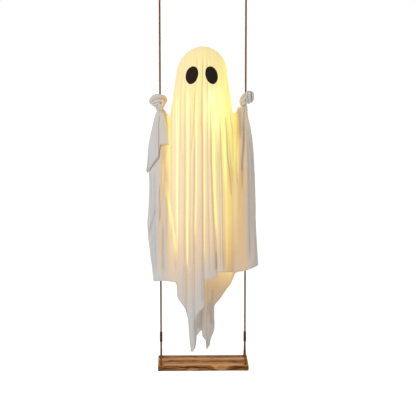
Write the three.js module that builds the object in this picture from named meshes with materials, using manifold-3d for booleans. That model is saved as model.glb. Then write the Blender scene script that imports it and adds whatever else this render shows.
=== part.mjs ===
// A lit cloth ghost that hangs by its hands on two ropes, over a wooden swing seat.
// Millimetres, +Z up, -Y to the front. The origin lies on the line about which the swing
// swings, midway between the two ceiling hooks. A drop is a distance below that line.

import * as THREE from "three";
import { mergeVertices } from "three/addons/utils/BufferGeometryUtils.js";
import Module from "manifold-3d";

const wasm = await Module();
wasm.setup();

const LEFT = -1;
const RIGHT = 1;
const FRONT = -1;
const BACK = 1;

// Clearances
const gap = 0.3;
const cutOverrun = 4;
const shaftClearance = 0.08;

// Ropes
const ropeDiameter = 6;
const eyeRadius = 12;
const eyeNeckDrop = 40;
const tailDrop = 84;
const topBindingDrop = 66;
const topBindingHeight = 22;
const forkAboveSeat = 64;
const lowBindingHeight = 35;
const bindingWall = 1.3;
const strandGap = 0.4;

// Hooks, their ceiling plates and the plate screws
const hookWire = 5;
const hookRadius = 12;
const hookShankTop = 46;
const plateRadius = 25;
const plateThickness = 4;
const plateBossRadius = 7;
const plateBossDepth = 8;
const plateScrewReach = 17;
const plateScrewShank = 3.6;
const plateScrewHead = 8;
const plateScrewHeadDepth = 2.4;
const plateScrewLength = 22;

// Seat board and its rope holes
const seatLength = 305;
const seatDepth = 150;
const seatThickness = 19;
const seatTopDrop = 1304;
const seatEdgeRound = 3;
const seatHoleFromEdge = 18;
const seatHoleFromEnd = 10.5;
const seatHoleRadius = 3.8;
const seatHoleFlare = 7;

// Hood and body of the gown
const clothWall = 1.2;
const hoodTopDrop = 241.7;
const crownRadius = 70.6;
const crownHeight = 75;
const chestDrop = 477;
const chestFlare = 35;
const hoodLean = 4;
const hoodLeanDrop = 360;
const bodyDepthAtHem = 86;
const bodyDepthAtPoint = 58;
const pleatStartDrop = 365;
const pleatDepthAtChest = 3;
const pleatDepthAtHem = 7;
const frontPleats = 8;
const hemLevelDrop = 950;
const frontPointDrop = 1260;
const backPointDrop = 1277;

// Side drapes, from the hands down
const notchDropLeft = 477;
const notchDropRight = 457;
const neckDropLeft = 449;
const neckDropRight = 441;
const neckRadius = 10;
const armSleeveHalf = 5.5;
const drapeHalfDepth = 46;
const drapeOpening = 170;
const notchBlend = 20;
const gatherLength = 120;
const drapeBeyondRopeLeft = 40;
const drapeBeyondRopeRight = 35;
const drapeHemLeft = 1024;
const drapeHemRight = 973;
const drapePleatDepth = 3;
const drapePleats = 5;

// Folded sleeve flap on the left drape
const flapTipDrop = 650;
const flapFoldDrop = 600;
const flapSleeveDrop = 564;
const flapBeyondRope = 48;
const flapFoldBeyondRope = 3;
const flapInsideRope = 29;
const flapNeckInsideRope = 14;
const flapLift = 7;
const flapSeatLift = 2.5;

// Knotted hands
const leftKnotHalfWidth = 30;
const leftKnotHalfHeight = 28;
const leftKnotHalfDepth = 23;
const leftKnotOut = 6.7;
const leftKnotDrop = 424;
const rightKnotHalfWidth = 23;
const rightKnotHalfHeight = 28;
const rightKnotHalfDepth = 21;
const rightKnotOut = 7;
const rightKnotDrop = 417;

// Eye patches
const eyeHalfWidth = 18.5;
const eyeHalfHeight = 30;
const eyeApart = 64;
const eyeCentreX = -5;
const eyeBelowTop = 89.8;
const eyeTiltDegrees = 13;
const eyeThickness = 1.2;
const eyeStandOff = 0.5;

// Head form and neck post
const headWall = 2;
const headInset = 5;
const headFormHeight = 92;
const headBossRadius = 8;
const headBossDepth = 26;
const postDiameter = 8;
const postInsert = 18;

// Arm wires and the clamps that grip the ropes
const armWire = 4;
const clampRadius = 8.4;
const clampHeight = 11;
const clampRise = 24;
const armElbowRise = 8;
const armSocketLength = 12;
const armSocketRadius = 5;
const armSocketBelowTop = 38;

// Housing, in two shells that part in front of the shafts
const housingHalfWidth = 50;
const housingHalfDepth = 31;
const housingAboveNotch = 9;
const housingHeight = 100;
const housingWall = 2.2;
const partingDepth = 9;
const housingCorner = 8;
const screwPostRadius = 4;
const screwInsetX = 5;
const screwInsetZ = 5.5;
const screwShank = 2.4;
const screwHead = 5.4;
const screwHeadDepth = 1.8;
const screwBite = 12;

// Motor, gears, shaft, arm and weight
const gearModule = 1;
const pinionTeeth = 12;
const gearTeeth = 44;
const gearWidth = 5;
const gearCentreSlack = 0.2;
const motorRadius = 12;
const motorLength = 30;
const motorAxisBelowTop = 32;
const motorLeft = 44;
const motorShaftRadius = 1.2;
const motorShaftLength = 9;
const cradleWidth = 6;
const shaftRadius = 2;
const shaftPartition = 6;
const partitionWall = 3;
const bushRadius = 4;
const bushFlange = 5.2;
const bushFlangeDepth = 1;
const armThickness = 3;
const armWidth = 7;
const armHubRadius = 5.5;
const armLength = 118;
const armFromGear = 5;
const armSwingDegrees = 20;
const weightRadius = 15;
const weightWidth = 17;

// Batteries, contacts, door, switch and board
const cellRadius = 7.1;
const cellLength = 49;
const cellButtonRadius = 2.7;
const cellButtonHeight = 1.2;
const cellPitch = 16;
const cellBayLeft = 9;
const contactThickness = 0.8;
const contactWidth = 10;
const bayFloor = 2;
const doorThickness = 1.8;
const doorLap = 2.5;
const doorRail = 2;
const doorGripRise = 1;
const doorGripCount = 4;
const doorGripWidth = 24;
const switchWidth = 9;
const switchHeight = 5;
const switchTravel = 4;
const switchRise = 2.5;
const switchFlange = 1.4;
const switchCentreX = -25;
const switchBelowTop = 14;
const switchInnerRise = 1.5;
const boardWidth = 34;
const boardHeight = 20;
const boardThickness = 1.6;
const boardBelowTop = 16;
const boardPostRadius = 2.2;
const boardFromFront = 8;

// Lamp
const lampX = 31;
const lampSocketRadius = 9;
const lampSocketHeight = 13;
const lampSocketFlange = 2;
const lampSocketSeat = 7;
const lampGlobeRadius = 17;
const lampNeckRadius = 6.5;
const lampNeckLength = 10;
const leadDiameter = 2.4;

// Finish of each kind of piece
const finish = (color, roughness, metalness = 0) =>
  new THREE.MeshStandardMaterial({ color, roughness, metalness });
const finishes = {
  cloth: finish(0xf2ead6, 0.9),
  eye: finish(0x2a201c, 0.95),
  rope: finish(0x80685a, 0.9),
  binding: finish(0x4c4034, 0.85),
  seat: finish(0x7a4a26, 0.7),
  steel: finish(0xb4b4b8, 0.35, 0.9),
  plate: finish(0xe8e8e6, 0.5),
  form: finish(0xf4f1ea, 0.35),
  housing: finish(0xe9e6df, 0.5),
  gear: finish(0xd8d4c6, 0.45),
  board: finish(0x2f6b46, 0.5),
  cell: finish(0x3c4450, 0.35, 0.2),
  switch: finish(0x23242a, 0.5),
  lamp: finish(0xfff1cf, 0.25),
  lead: finish(0x7c1f1a, 0.5),
};

// Solids: joining, cutting and plain shapes

/** A closed geometry as a solid that can be joined and cut. */
function solidOf(geometry) {
  const bare = geometry.index ? geometry.toNonIndexed() : geometry.clone();
  for (const name of Object.keys(bare.attributes)) {
    if (name !== "position") bare.deleteAttribute(name);
  }
  const welded = mergeVertices(bare, 1e-4);
  const corners = welded.index.array;
  const kept = [];
  for (let i = 0; i < corners.length; i += 3) {
    const [a, b, c] = [corners[i], corners[i + 1], corners[i + 2]];
    if (a !== b && b !== c && c !== a) kept.push(a, b, c);
  }
  return new wasm.Manifold(
    new wasm.Mesh({
      numProp: 3,
      vertProperties: welded.attributes.position.array,
      triVerts: new Uint32Array(kept),
    }),
  );
}

/** A solid back as a geometry. */
function geometryOf(solid) {
  const mesh = solid.getMesh();
  const places = new Float32Array(mesh.numVert * 3);
  for (let i = 0; i < mesh.numVert; i++) {
    places.set(mesh.vertProperties.subarray(i * mesh.numProp, i * mesh.numProp + 3), i * 3);
  }
  const geometry = new THREE.BufferGeometry();
  geometry.setAttribute("position", new THREE.BufferAttribute(places, 3));
  geometry.setIndex(new THREE.BufferAttribute(mesh.triVerts, 1));
  return geometry;
}

const join = (...pieces) =>
  geometryOf(pieces.map(solidOf).reduce((whole, piece) => whole.add(piece)));

const cut = (body, ...tools) =>
  geometryOf(tools.map(solidOf).reduce((whole, tool) => whole.subtract(tool), solidOf(body)));

/** A box from its low corner to its high corner. */
function block(x0, x1, y0, y1, z0, z1) {
  const box = new THREE.BoxGeometry(x1 - x0, y1 - y0, z1 - z0);
  return box.translate((x0 + x1) / 2, (y0 + y1) / 2, (z0 + z1) / 2);
}

/** A round bar along X, Y or Z between two places on its axis. */
function bar(axis, radius, from, to, a, b, sides = 20) {
  const round = new THREE.CylinderGeometry(radius, radius, to - from, sides);
  const middle = (from + to) / 2;
  if (axis === "x") return round.rotateZ(-Math.PI / 2).translate(middle, a, b);
  if (axis === "y") return round.translate(a, middle, b);
  return round.rotateX(Math.PI / 2).translate(a, b, middle);
}

/** A turned piece about a vertical line, from its profile of [radius, height] points. */
function turned(profile, x, y, segments = 24) {
  const points = profile.map(([r, z]) => new THREE.Vector2(r, z));
  return new THREE.LatheGeometry(points, segments).rotateX(Math.PI / 2).translate(x, y, 0);
}

/** A ring of square section about a vertical line. */
function ring(inner, outer, z0, z1, x, y, segments = 20) {
  return turned([[inner, z0], [outer, z0], [outer, z1], [inner, z1], [inner, z0]], x, y, segments);
}

/** A path whose steps fall on its points and between them, so bends have more steps. */
class SteppedPath extends THREE.CatmullRomCurve3 {
  getPointAt(share, target) {
    return this.getPoint(share, target);
  }
  getTangentAt(share, target) {
    return this.getTangent(share, target);
  }
}

/** A round tube along points. */
function tube(points, diameter, sides = 8, stepsEach = 2) {
  const places = points.map(([x, y, z]) => new THREE.Vector3(x, y, z));
  const path = new SteppedPath(places, false, "centripetal");
  const section = new THREE.Shape(
    Array.from({ length: sides }, (_, i) => {
      const turn = ((i + 0.5) / sides) * 2 * Math.PI;
      return new THREE.Vector2(Math.cos(turn), Math.sin(turn)).multiplyScalar(diameter / 2);
    }),
  );
  return new THREE.ExtrudeGeometry(section, {
    steps: (points.length - 1) * stepsEach,
    extrudePath: path,
    bevelEnabled: false,
  });
}

/** A flat outline in Y and Z, made thick along X. */
function plateAcross(outline, x0, x1) {
  const shape = new THREE.Shape(outline.map(([y, z]) => new THREE.Vector2(y, z)));
  const plate = new THREE.ExtrudeGeometry(shape, { depth: x1 - x0, bevelEnabled: false });
  const turn = new THREE.Matrix4().makeBasis(
    new THREE.Vector3(0, 1, 0),
    new THREE.Vector3(0, 0, 1),
    new THREE.Vector3(1, 0, 0),
  );
  return plate.applyMatrix4(turn).translate(x0, 0, 0);
}

// Cloth: curved sheets with a wall

const mix = (a, b, share) => a + (b - a) * share;
const clamp01 = (value) => Math.min(1, Math.max(0, value));
const ease = (value) => clamp01(value) ** 2 * (3 - 2 * clamp01(value));

/** The value at a place in a table of [place, value] rows, in straight steps. */
function lookUp(table, place) {
  for (let i = 1; i < table.length; i++) {
    const [[p0, v0], [p1, v1]] = [table[i - 1], table[i]];
    if (place <= p1) return mix(v0, v1, clamp01((place - p0) / (p1 - p0)));
  }
  return table[table.length - 1][1];
}

/** A sheet given by placeAt(column, row), closed by a wall on its inner side. */
function clothShell(placeAt, columns, rows, wall, outward) {
  const at = (i, j) => placeAt(i / columns, j / rows);
  const outer = [];
  const inner = [];
  for (let i = 0; i <= columns; i++) {
    for (let j = 0; j <= rows; j++) {
      const along = at(Math.min(i + 1, columns), j).sub(at(Math.max(i - 1, 0), j));
      const down = at(i, Math.min(j + 1, rows)).sub(at(i, Math.max(j - 1, 0)));
      const normal = along.cross(down).multiplyScalar(outward);
      if (normal.length() < 1e-6 * wall) normal.set(0, 0, 1);
      const place = at(i, j);
      outer.push(place);
      inner.push(place.clone().addScaledVector(normal.normalize(), -wall));
    }
  }
  const places = [...outer, ...inner].flatMap((p) => [p.x, p.y, p.z]);
  const index = (i, j, side) => side * outer.length + i * (rows + 1) + j;
  const faces = [];
  const quad = (a, b, c, d) => {
    if (outward > 0) faces.push(a, b, c, a, c, d);
    else faces.push(a, c, b, a, d, c);
  };
  for (let i = 0; i < columns; i++) {
    for (let j = 0; j < rows; j++) {
      quad(index(i, j, 0), index(i + 1, j, 0), index(i + 1, j + 1, 0), index(i, j + 1, 0));
      quad(index(i, j, 1), index(i, j + 1, 1), index(i + 1, j + 1, 1), index(i + 1, j, 1));
    }
    quad(index(i, 0, 0), index(i, 0, 1), index(i + 1, 0, 1), index(i + 1, 0, 0));
    quad(index(i, rows, 0), index(i + 1, rows, 0), index(i + 1, rows, 1), index(i, rows, 1));
  }
  for (let j = 0; j < rows; j++) {
    quad(index(0, j, 0), index(0, j + 1, 0), index(0, j + 1, 1), index(0, j, 1));
    quad(index(columns, j, 0), index(columns, j, 1), index(columns, j + 1, 1), index(columns, j + 1, 0));
  }
  const geometry = new THREE.BufferGeometry();
  geometry.setAttribute("position", new THREE.Float32BufferAttribute(places, 3));
  geometry.setIndex(faces);
  return geometryOf(solidOf(geometry));
}

// Shape of the gown. Its front and back panels run from the crown to the hem, and part below
// the arms, where the side drapes join them.

// Rows of [place across the panel, drop of the hem] as shares
const frontHemShares = [
  [-1, 0.261], [-0.85, 0.268], [-0.82, 0.39], [-0.775, 0.423], [-0.52, 0.542], [-0.46, 0.694],
  [-0.42, 0.897], [-0.37, 1], [-0.29, 0.974], [-0.22, 0.855], [-0.2, 0.58], [0.02, 0.503],
  [0.06, 0.226], [0.477, 0.194], [0.5, 0.161], [1, 0.158],
];
const backHemShares = [
  [-1, 0.214], [-0.79, 0.26], [-0.56, 0.382], [-0.37, 0.734], [-0.19, 0.832], [-0.04, 0.792],
  [0.02, 0.875], [0.075, 0.917], [0.12, 1], [0.22, 0.942], [0.28, 0.865], [0.36, 0.78],
  [0.37, 0.55], [0.56, 0.474], [0.73, 0.388], [0.9, 0.312], [1, 0.214],
];

// Rows of [share of the drape's height, share of its reach] down each drape's outer edge
const leftEdgeShares = [
  [0, 0.83], [0.042, 0.879], [0.118, 0.934], [0.207, 0.984], [0.332, 0.989], [0.456, 0.984],
  [0.56, 1], [0.666, 1.027], [0.746, 1.022], [0.819, 0.989], [0.92, 0.951], [1, 0.918],
];
const rightEdgeShares = [
  [0, 0.831], [0.088, 0.87], [0.184, 0.921], [0.283, 0.955], [0.425, 0.983], [0.62, 1],
  [0.697, 1], [0.865, 1.028], [1, 1.051],
];
const pleatShiftShare = 0.35;
const seamFadeShare = 0.12;

const hoodHeight = chestDrop - hoodTopDrop;
const eyeDrop = hoodTopDrop + eyeBelowTop;
const ropeX = seatLength / 2 - seatHoleFromEnd;
const notchDropOf = (side) => (side === LEFT ? notchDropLeft : notchDropRight);
const neckDropOf = (side) => (side === LEFT ? neckDropLeft : neckDropRight);

/** The gown's radius at a drop, from the crown down to the chest and on below it. */
function gownRadius(drop) {
  const fall = Math.max(0, drop - hoodTopDrop);
  const crown = Math.sqrt(1 - (1 - Math.min(1, fall / crownHeight)) ** 2);
  return crownRadius * crown + chestFlare * Math.min(1, fall / hoodHeight);
}

/** How far the gown's middle leans from the middle of the ropes. */
const gownLean = (drop) => -hoodLean * ease((drop - hoodTopDrop) / (hoodLeanDrop - hoodTopDrop));

/** The gown's depth at its middle. */
function gownDepth(drop) {
  if (drop <= chestDrop) return gownRadius(drop);
  const toHem = clamp01((drop - chestDrop) / (hemLevelDrop - chestDrop));
  const toPoint = clamp01((drop - hemLevelDrop) / (frontPointDrop - hemLevelDrop));
  return mix(mix(gownRadius(chestDrop), bodyDepthAtHem, toHem), bodyDepthAtPoint, toPoint);
}

/** How far a panel's side edge stands from the middle plane at a drop. */
function edgeDepth(side, drop) {
  const notch = notchDropOf(side);
  const sleeve = armSleeveHalf * ease((drop - notch + notchBlend) / notchBlend);
  return sleeve + (drapeHalfDepth - armSleeveHalf) * ease((drop - notch) / drapeOpening);
}

/** Depth of the pleats at a drop. */
function pleatDepth(drop) {
  const toChest = ease((drop - pleatStartDrop) / (chestDrop - pleatStartDrop));
  const toHem = ease((drop - chestDrop) / (hemLevelDrop - chestDrop));
  return pleatDepthAtChest * toChest + (pleatDepthAtHem - pleatDepthAtChest) * toHem;
}

/** A place on the front or back panel. The turn is -1 at its left edge and 1 at its right. */
function panelPlace(face, turn, drop) {
  const angle = (turn * Math.PI) / 2;
  const radius = gownRadius(drop);
  const side = turn < 0 ? LEFT : RIGHT;
  const edge = edgeDepth(side, drop);
  const fade = ease((1 - Math.abs(turn)) / seamFadeShare);
  const wave = Math.cos((turn + pleatShiftShare / frontPleats) * frontPleats * Math.PI);
  const pleat = pleatDepth(drop) * fade * wave;
  const out = edge + (gownDepth(drop) - edge) * Math.cos(angle) + pleat * Math.cos(angle);
  return new THREE.Vector3(
    gownLean(drop) + (radius + pleat * Math.cos(angle)) * Math.sin(angle),
    face * (out + gap),
    -drop,
  );
}

/** The drop of a panel's hem. */
function panelHem(face, turn) {
  const across = Math.sin((turn * Math.PI) / 2);
  const table = face === FRONT ? frontHemShares : backHemShares;
  const point = face === FRONT ? frontPointDrop : backPointDrop;
  return mix(hemLevelDrop, point, lookUp(table, across));
}

const frontColumns = 29;
const backColumns = 25;

/** A closed panel of the gown. Its rows are closer on the crown and among the hem's points. */
function gownPanel(face, columns) {
  const crownRows = 5;
  const hoodRows = 3;
  const bodyRows = 4;
  const hemRows = 5;
  const rows = crownRows + hoodRows + bodyRows + hemRows;
  const crownEnd = hoodTopDrop + crownHeight;
  const dropAt = (row, turn) => {
    if (row <= crownRows) {
      return hoodTopDrop + crownHeight * (1 - Math.cos((row / crownRows) * (Math.PI / 2)));
    }
    if (row <= crownRows + hoodRows) return mix(crownEnd, chestDrop, (row - crownRows) / hoodRows);
    const below = row - crownRows - hoodRows;
    if (below <= bodyRows) return mix(chestDrop, hemLevelDrop, below / bodyRows);
    return mix(hemLevelDrop, panelHem(face, turn), (below - bodyRows) / hemRows);
  };
  const placeAt = (c, r) => {
    const turn = mix(-1, 1, c);
    return panelPlace(face, turn, dropAt(Math.round(r * rows), turn));
  };
  return clothShell(placeAt, columns, rows, clothWall, face);
}

/** Half the width of a drape at its outer edge, measured from the middle of the ropes. */
function drapeEdge(side, drop) {
  const hem = side === LEFT ? drapeHemLeft : drapeHemRight;
  const share = (drop - neckDropOf(side)) / (hem - neckDropOf(side));
  const reach = ropeX + (side === LEFT ? drapeBeyondRopeLeft : drapeBeyondRopeRight);
  return reach * lookUp(side === LEFT ? leftEdgeShares : rightEdgeShares, share);
}

/** Where a drape's seam with the panels stands at a drop. */
const seamReach = (side, drop) => side * gownLean(drop) + gownRadius(drop) + gap;

/** The top of a drape at a place round it: gathered in the hand, or along the arm's ridge. */
function drapeTop(side, around) {
  const neck = neckDropOf(side);
  const ridgeShare = clamp01((Math.abs(around) - 0.5) / 0.5);
  const turn = (Math.min(Math.abs(around), 0.5) / 0.5) * ((Math.PI * 5) / 6);
  const ringReach = ropeX - gap + neckRadius * Math.cos(turn);
  const ringDepth = neckRadius * Math.sin(turn);
  return {
    reach: mix(ringReach, seamReach(side, notchDropOf(side)) + clothWall, ridgeShare),
    depth: mix(ringDepth, armSleeveHalf, ridgeShare),
    drop: mix(neck, notchDropOf(side), ridgeShare ** 1.5),
  };
}

/** A place on a side drape. Around is -1 at the front seam, 0 at the outer edge, 1 behind. */
function drapePlace(side, around, drop) {
  const top = drapeTop(side, around);
  const angle = (around * Math.PI) / 2;
  const seam = seamReach(side, drop);
  const spread = ease((drop - top.drop) / gatherLength);
  const fade = ease((1 - Math.abs(around)) / seamFadeShare) * spread;
  const pleat = drapePleatDepth * fade * Math.cos(around * drapePleats * Math.PI);
  const reach = seam + (drapeEdge(side, drop) - seam) * Math.cos(angle) + pleat * Math.cos(angle);
  const depth = edgeDepth(side, drop) * Math.abs(Math.sin(angle)) + pleat * Math.abs(Math.sin(angle));
  return new THREE.Vector3(
    side * mix(top.reach, reach, spread),
    Math.sign(around) * mix(top.depth, depth, spread),
    -drop,
  );
}

/** The drop of a drape's hem, from the panels' hems at its seams to its outer corner. */
function drapeHem(side, around) {
  const outer = side === LEFT ? drapeHemLeft : drapeHemRight;
  const inner = panelHem(around < 0 ? FRONT : BACK, side);
  return mix(inner, outer, Math.cos((around * Math.PI) / 2));
}

/** A closed side drape. */
function sideDrape(side) {
  const columns = 24;
  const rows = 12;
  const placeAt = (c, r) => {
    const around = mix(-1, 1, c);
    const top = drapeTop(side, around).drop;
    return drapePlace(side, around, mix(top, drapeHem(side, around), r ** 1.35));
  };
  return clothShell(placeAt, columns, rows, clothWall, -side);
}

// Places across the flap: the end of its wing, the fold, and the start of its cuff
const flapFoldShares = [0.58, 0.6, 0.66];

/** The sleeve flap that lies folded over the front of the left drape. */
function sleeveFlap() {
  const columns = 12;
  const rows = 8;
  const hem = [
    [0, flapTipDrop],
    [flapFoldShares[0], flapFoldDrop],
    [flapFoldShares[2], flapSleeveDrop],
    [1, flapSleeveDrop],
  ];
  const foldShare = flapFoldShares[1];
  const placeAt = (c, r) => {
    const start = neckDropLeft + neckRadius;
    const drop = mix(start, lookUp(hem, c), r);
    const widen = clamp01((drop - start) / (flapTipDrop - start));
    const outer = mix(drapeEdge(LEFT, drop) + gap, ropeX + flapBeyondRope, widen ** 3);
    const fold = ropeX + flapFoldBeyondRope * widen;
    const inner = ropeX - mix(flapNeckInsideRope, flapInsideRope, Math.sqrt(widen));
    const reach = c < foldShare
      ? mix(outer, fold, c / foldShare)
      : mix(fold, inner, (c - foldShare) / (1 - foldShare));
    const seam = seamReach(LEFT, drop);
    const across = clamp01((reach - seam) / (drapeEdge(LEFT, drop) - seam));
    const spread = ease((drop - neckDropLeft) / gatherLength);
    const open = Math.sqrt(1 - across ** 2);
    const depth = mix(neckRadius, edgeDepth(LEFT, drop), spread) * open;
    const lift = mix(flapSeatLift, flapLift, ease(r * 2));
    return new THREE.Vector3(-reach, -(depth + lift + clothWall), -drop);
  };
  return clothShell(placeAt, columns, rows, clothWall, 1);
}

const knotLumpShare = 0.07;
const knotSwirlShares = [5, 2, 4];

/** A knotted hand: folds of cloth about the rope, with room inside for the clamp. */
function knottedHand(side) {
  const isLeft = side === LEFT;
  const halfWidth = isLeft ? leftKnotHalfWidth : rightKnotHalfWidth;
  const halfHeight = isLeft ? leftKnotHalfHeight : rightKnotHalfHeight;
  const halfDepth = isLeft ? leftKnotHalfDepth : rightKnotHalfDepth;
  const out = isLeft ? leftKnotOut : rightKnotOut;
  const drop = isLeft ? leftKnotDrop : rightKnotDrop;
  const ball = new THREE.SphereGeometry(1, 16, 10);
  const place = new THREE.Vector3();
  const knotSwirl = new THREE.Vector3(...knotSwirlShares);
  const spots = ball.attributes.position;
  for (let i = 0; i < spots.count; i++) {
    place.fromBufferAttribute(spots, i);
    const swirl = Math.cos(place.dot(knotSwirl));
    place.multiplyScalar(1 + knotLumpShare * (swirl - 1));
    spots.setXYZ(i, place.x * halfWidth, place.y * halfDepth, place.z * halfHeight);
  }
  ball.translate(side * (ropeX + out), 0, -drop);
  const x = side * ropeX;
  const bore = ropeDiameter / 2 + gap;
  const pocket = clampRadius + gap;
  const pocketTop = -neckDropOf(side) + clampRise + gap;
  const channel = turned(
    [
      [0, -drop - halfHeight - cutOverrun],
      [pocket, -drop - halfHeight - cutOverrun],
      [pocket, pocketTop],
      [bore, pocketTop],
      [bore, -drop + halfHeight + cutOverrun],
      [0, -drop + halfHeight + cutOverrun],
    ],
    x,
    0,
    18,
  );
  const gather = block(
    x - halfWidth * 3,
    x + halfWidth * 3,
    -halfDepth * 3,
    halfDepth * 3,
    -neckDropOf(side) - halfHeight * 2,
    -neckDropOf(side) + gap,
  );
  return cut(ball, channel, gather);
}

/** An oval eye patch that follows the hood. */
function eyePatch(side) {
  const rings = 2;
  const spokes = 16;
  const tilt = -THREE.MathUtils.degToRad(eyeTiltDegrees) * side;
  const centre = eyeCentreX + (side * eyeApart) / 2;
  const onHood = (across, up, lift) => {
    const x = centre + across * Math.cos(tilt) + up * Math.sin(tilt);
    const drop = eyeDrop - (up * Math.cos(tilt) - across * Math.sin(tilt));
    const radius = gownRadius(drop) + lift;
    const off = x - gownLean(drop);
    return [x, -Math.sqrt(radius ** 2 - off ** 2) - gap / 2, -drop];
  };
  const places = [];
  for (const lift of [eyeStandOff + eyeThickness, eyeStandOff]) {
    places.push(...onHood(0, 0, lift));
    for (let k = 1; k <= rings; k++) {
      for (let s = 0; s < spokes; s++) {
        const turn = (s / spokes) * 2 * Math.PI;
        const share = k / rings;
        const across = eyeHalfWidth * share * Math.cos(turn);
        places.push(...onHood(across, eyeHalfHeight * share * Math.sin(turn), lift));
      }
    }
  }
  const layer = 1 + rings * spokes;
  const spot = (k, s, side2) => side2 * layer + (k === 0 ? 0 : 1 + (k - 1) * spokes + (s % spokes));
  const faces = [];
  for (let s = 0; s < spokes; s++) {
    for (const under of [0, 1]) {
      for (let k = 0; k < rings; k++) {
        const [a, b] = [spot(k, s, under), spot(k, s + 1, under)];
        const [c, d] = [spot(k + 1, s + 1, under), spot(k + 1, s, under)];
        const around = k === 0 ? [[a, d, c]] : [[a, d, c], [a, c, b]];
        for (const [p, q, r] of around) faces.push(...(under ? [p, r, q] : [p, q, r]));
      }
    }
    const [top0, top1] = [spot(rings, s, 0), spot(rings, s + 1, 0)];
    const [low0, low1] = [spot(rings, s, 1), spot(rings, s + 1, 1)];
    faces.push(top0, low0, low1, top0, low1, top1);
  }
  const patch = new THREE.BufferGeometry();
  patch.setAttribute("position", new THREE.Float32BufferAttribute(places, 3));
  patch.setIndex(faces);
  return patch;
}

// Ropes, bindings, hooks and the seat

const forkDrop = seatTopDrop - forkAboveSeat;
const ropeRadius = ropeDiameter / 2;
const eyeTop = hookWire / 2 + gap + ropeRadius;
const strandApart = ropeDiameter + strandGap;
const seatHoleY = seatDepth / 2 - seatHoleFromEdge;
const seatUnder = seatTopDrop + seatThickness;
const underRun = seatUnder + gap + ropeRadius;

const turnInShare = 0.6;

/** A rope's route: eye, standing part, front leg, run under the seat and back leg. */
function ropeRoute(x) {
  const eyeCentre = eyeTop - eyeRadius;
  const eye = [0, 30, 60, 90, 120, 150, 180].map((degrees) => {
    const turn = THREE.MathUtils.degToRad(degrees);
    return [x, eyeRadius * Math.cos(turn), eyeCentre + eyeRadius * Math.sin(turn)];
  });
  const legStart = forkDrop + ropeDiameter * 1.2;
  const legDrop = seatTopDrop - legStart;
  const legShares = [[0.14, 0.09], [0.4, 0.38], [0.74, 0.68], [0.93, 0.9], [1, 1.13]];
  const frontLeg = legShares.map(([y, z]) => [x, -seatHoleY * y, -(legStart + legDrop * z)]);
  const backLeg = legShares.map(([y, z]) => {
    return [x, mix(strandApart, seatHoleY, y), -(legStart + legDrop * z)];
  });
  const turnIn = seatHoleFlare * turnInShare;
  const under = [
    [x, -seatHoleY, -seatUnder + seatThickness * 0.42],
    [x, -seatHoleY + ropeRadius * 0.5, -seatUnder + ropeRadius * 0.9],
    [x, -seatHoleY + turnIn + ropeRadius * 0.3, -underRun + ropeRadius * 0.35],
    [x, -seatHoleY + turnIn * 2 + ropeDiameter, -underRun],
  ];
  return [
    [x, strandApart, -tailDrop],
    [x, strandApart, -topBindingDrop],
    [x, mix(strandApart, eyeRadius, 0.7), -eyeNeckDrop],
    ...eye,
    [x, -eyeRadius * 0.7, -eyeNeckDrop],
    [x, 0, -topBindingDrop],
    [x, 0, -tailDrop],
    [x, 0, -tailDrop * 2],
    [x, 0, -forkDrop / 2],
    [x, 0, -forkDrop + lowBindingHeight * 2],
    [x, 0, -forkDrop + lowBindingHeight],
    [x, 0, -forkDrop],
    [x, 0, -forkDrop - ropeRadius],
    ...frontLeg,
    ...under,
    ...under.map(([, y, z]) => [x, -y, z]).reverse(),
    ...backLeg.reverse(),
    [x, strandApart, -forkDrop - ropeRadius],
    [x, strandApart, -forkDrop],
    [x, strandApart, -forkDrop + lowBindingHeight * 0.8],
  ];
}

/** A binding round two strands that lie side by side. */
function binding(x, topDrop, height) {
  const turns = 5;
  const oval = (radius) => {
    const shape = new THREE.Shape();
    shape.absarc(0, 0, radius, -Math.PI / 2, Math.PI / 2, false);
    shape.absarc(-strandApart, 0, radius, Math.PI / 2, (Math.PI * 3) / 2, false);
    return shape;
  };
  const outline = oval(ropeRadius + gap + bindingWall);
  outline.holes.push(oval(ropeRadius + gap));
  const sleeve = new THREE.ExtrudeGeometry(outline, {
    depth: height,
    steps: 1,
    curveSegments: turns,
    bevelEnabled: false,
  });
  return geometryOf(solidOf(sleeve.rotateZ(-Math.PI / 2).translate(x, 0, -topDrop - height)));
}

/** An open hook whose lowest stretch carries the rope's eye. */
function ceilingHook(x) {
  const r = hookRadius;
  return tube(
    [
      [x, 0, hookShankTop],
      [x, 0, r * 3],
      [x - r * 0.35, 0, r * 2.5],
      [x - r * 0.85, 0, r * 1.85],
      [x - r, 0, r],
      [x - r * 0.72, 0, r * 0.3],
      [x, 0, 0],
      [x + r * 0.72, 0, r * 0.3],
      [x + r, 0, r],
      [x + r * 0.95, 0, r * 1.5],
    ],
    hookWire,
    8,
    2,
  );
}

const plateUnder = hookShankTop - plateBossDepth / 2;
const plateTop = plateUnder + plateBossDepth + plateThickness;

/** A ceiling plate with a boss for the hook and two screw holes. */
function ceilingPlate(x) {
  const boss = bar("z", plateBossRadius, plateUnder, plateTop - plateThickness / 2, x, 0);
  const disc = bar("z", plateRadius, plateTop - plateThickness, plateTop, x, 0, 24);
  const socket = bar("z", hookWire / 2 + gap, plateUnder - cutOverrun, hookShankTop + gap, x, 0, 12);
  const holes = [LEFT, RIGHT].map((side) =>
    bar(
      "z",
      plateScrewShank / 2 + gap,
      plateTop - plateThickness - cutOverrun,
      plateTop + cutOverrun,
      x + side * plateScrewReach,
      0,
      12,
    ),
  );
  return cut(join(boss, disc), socket, ...holes);
}

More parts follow.
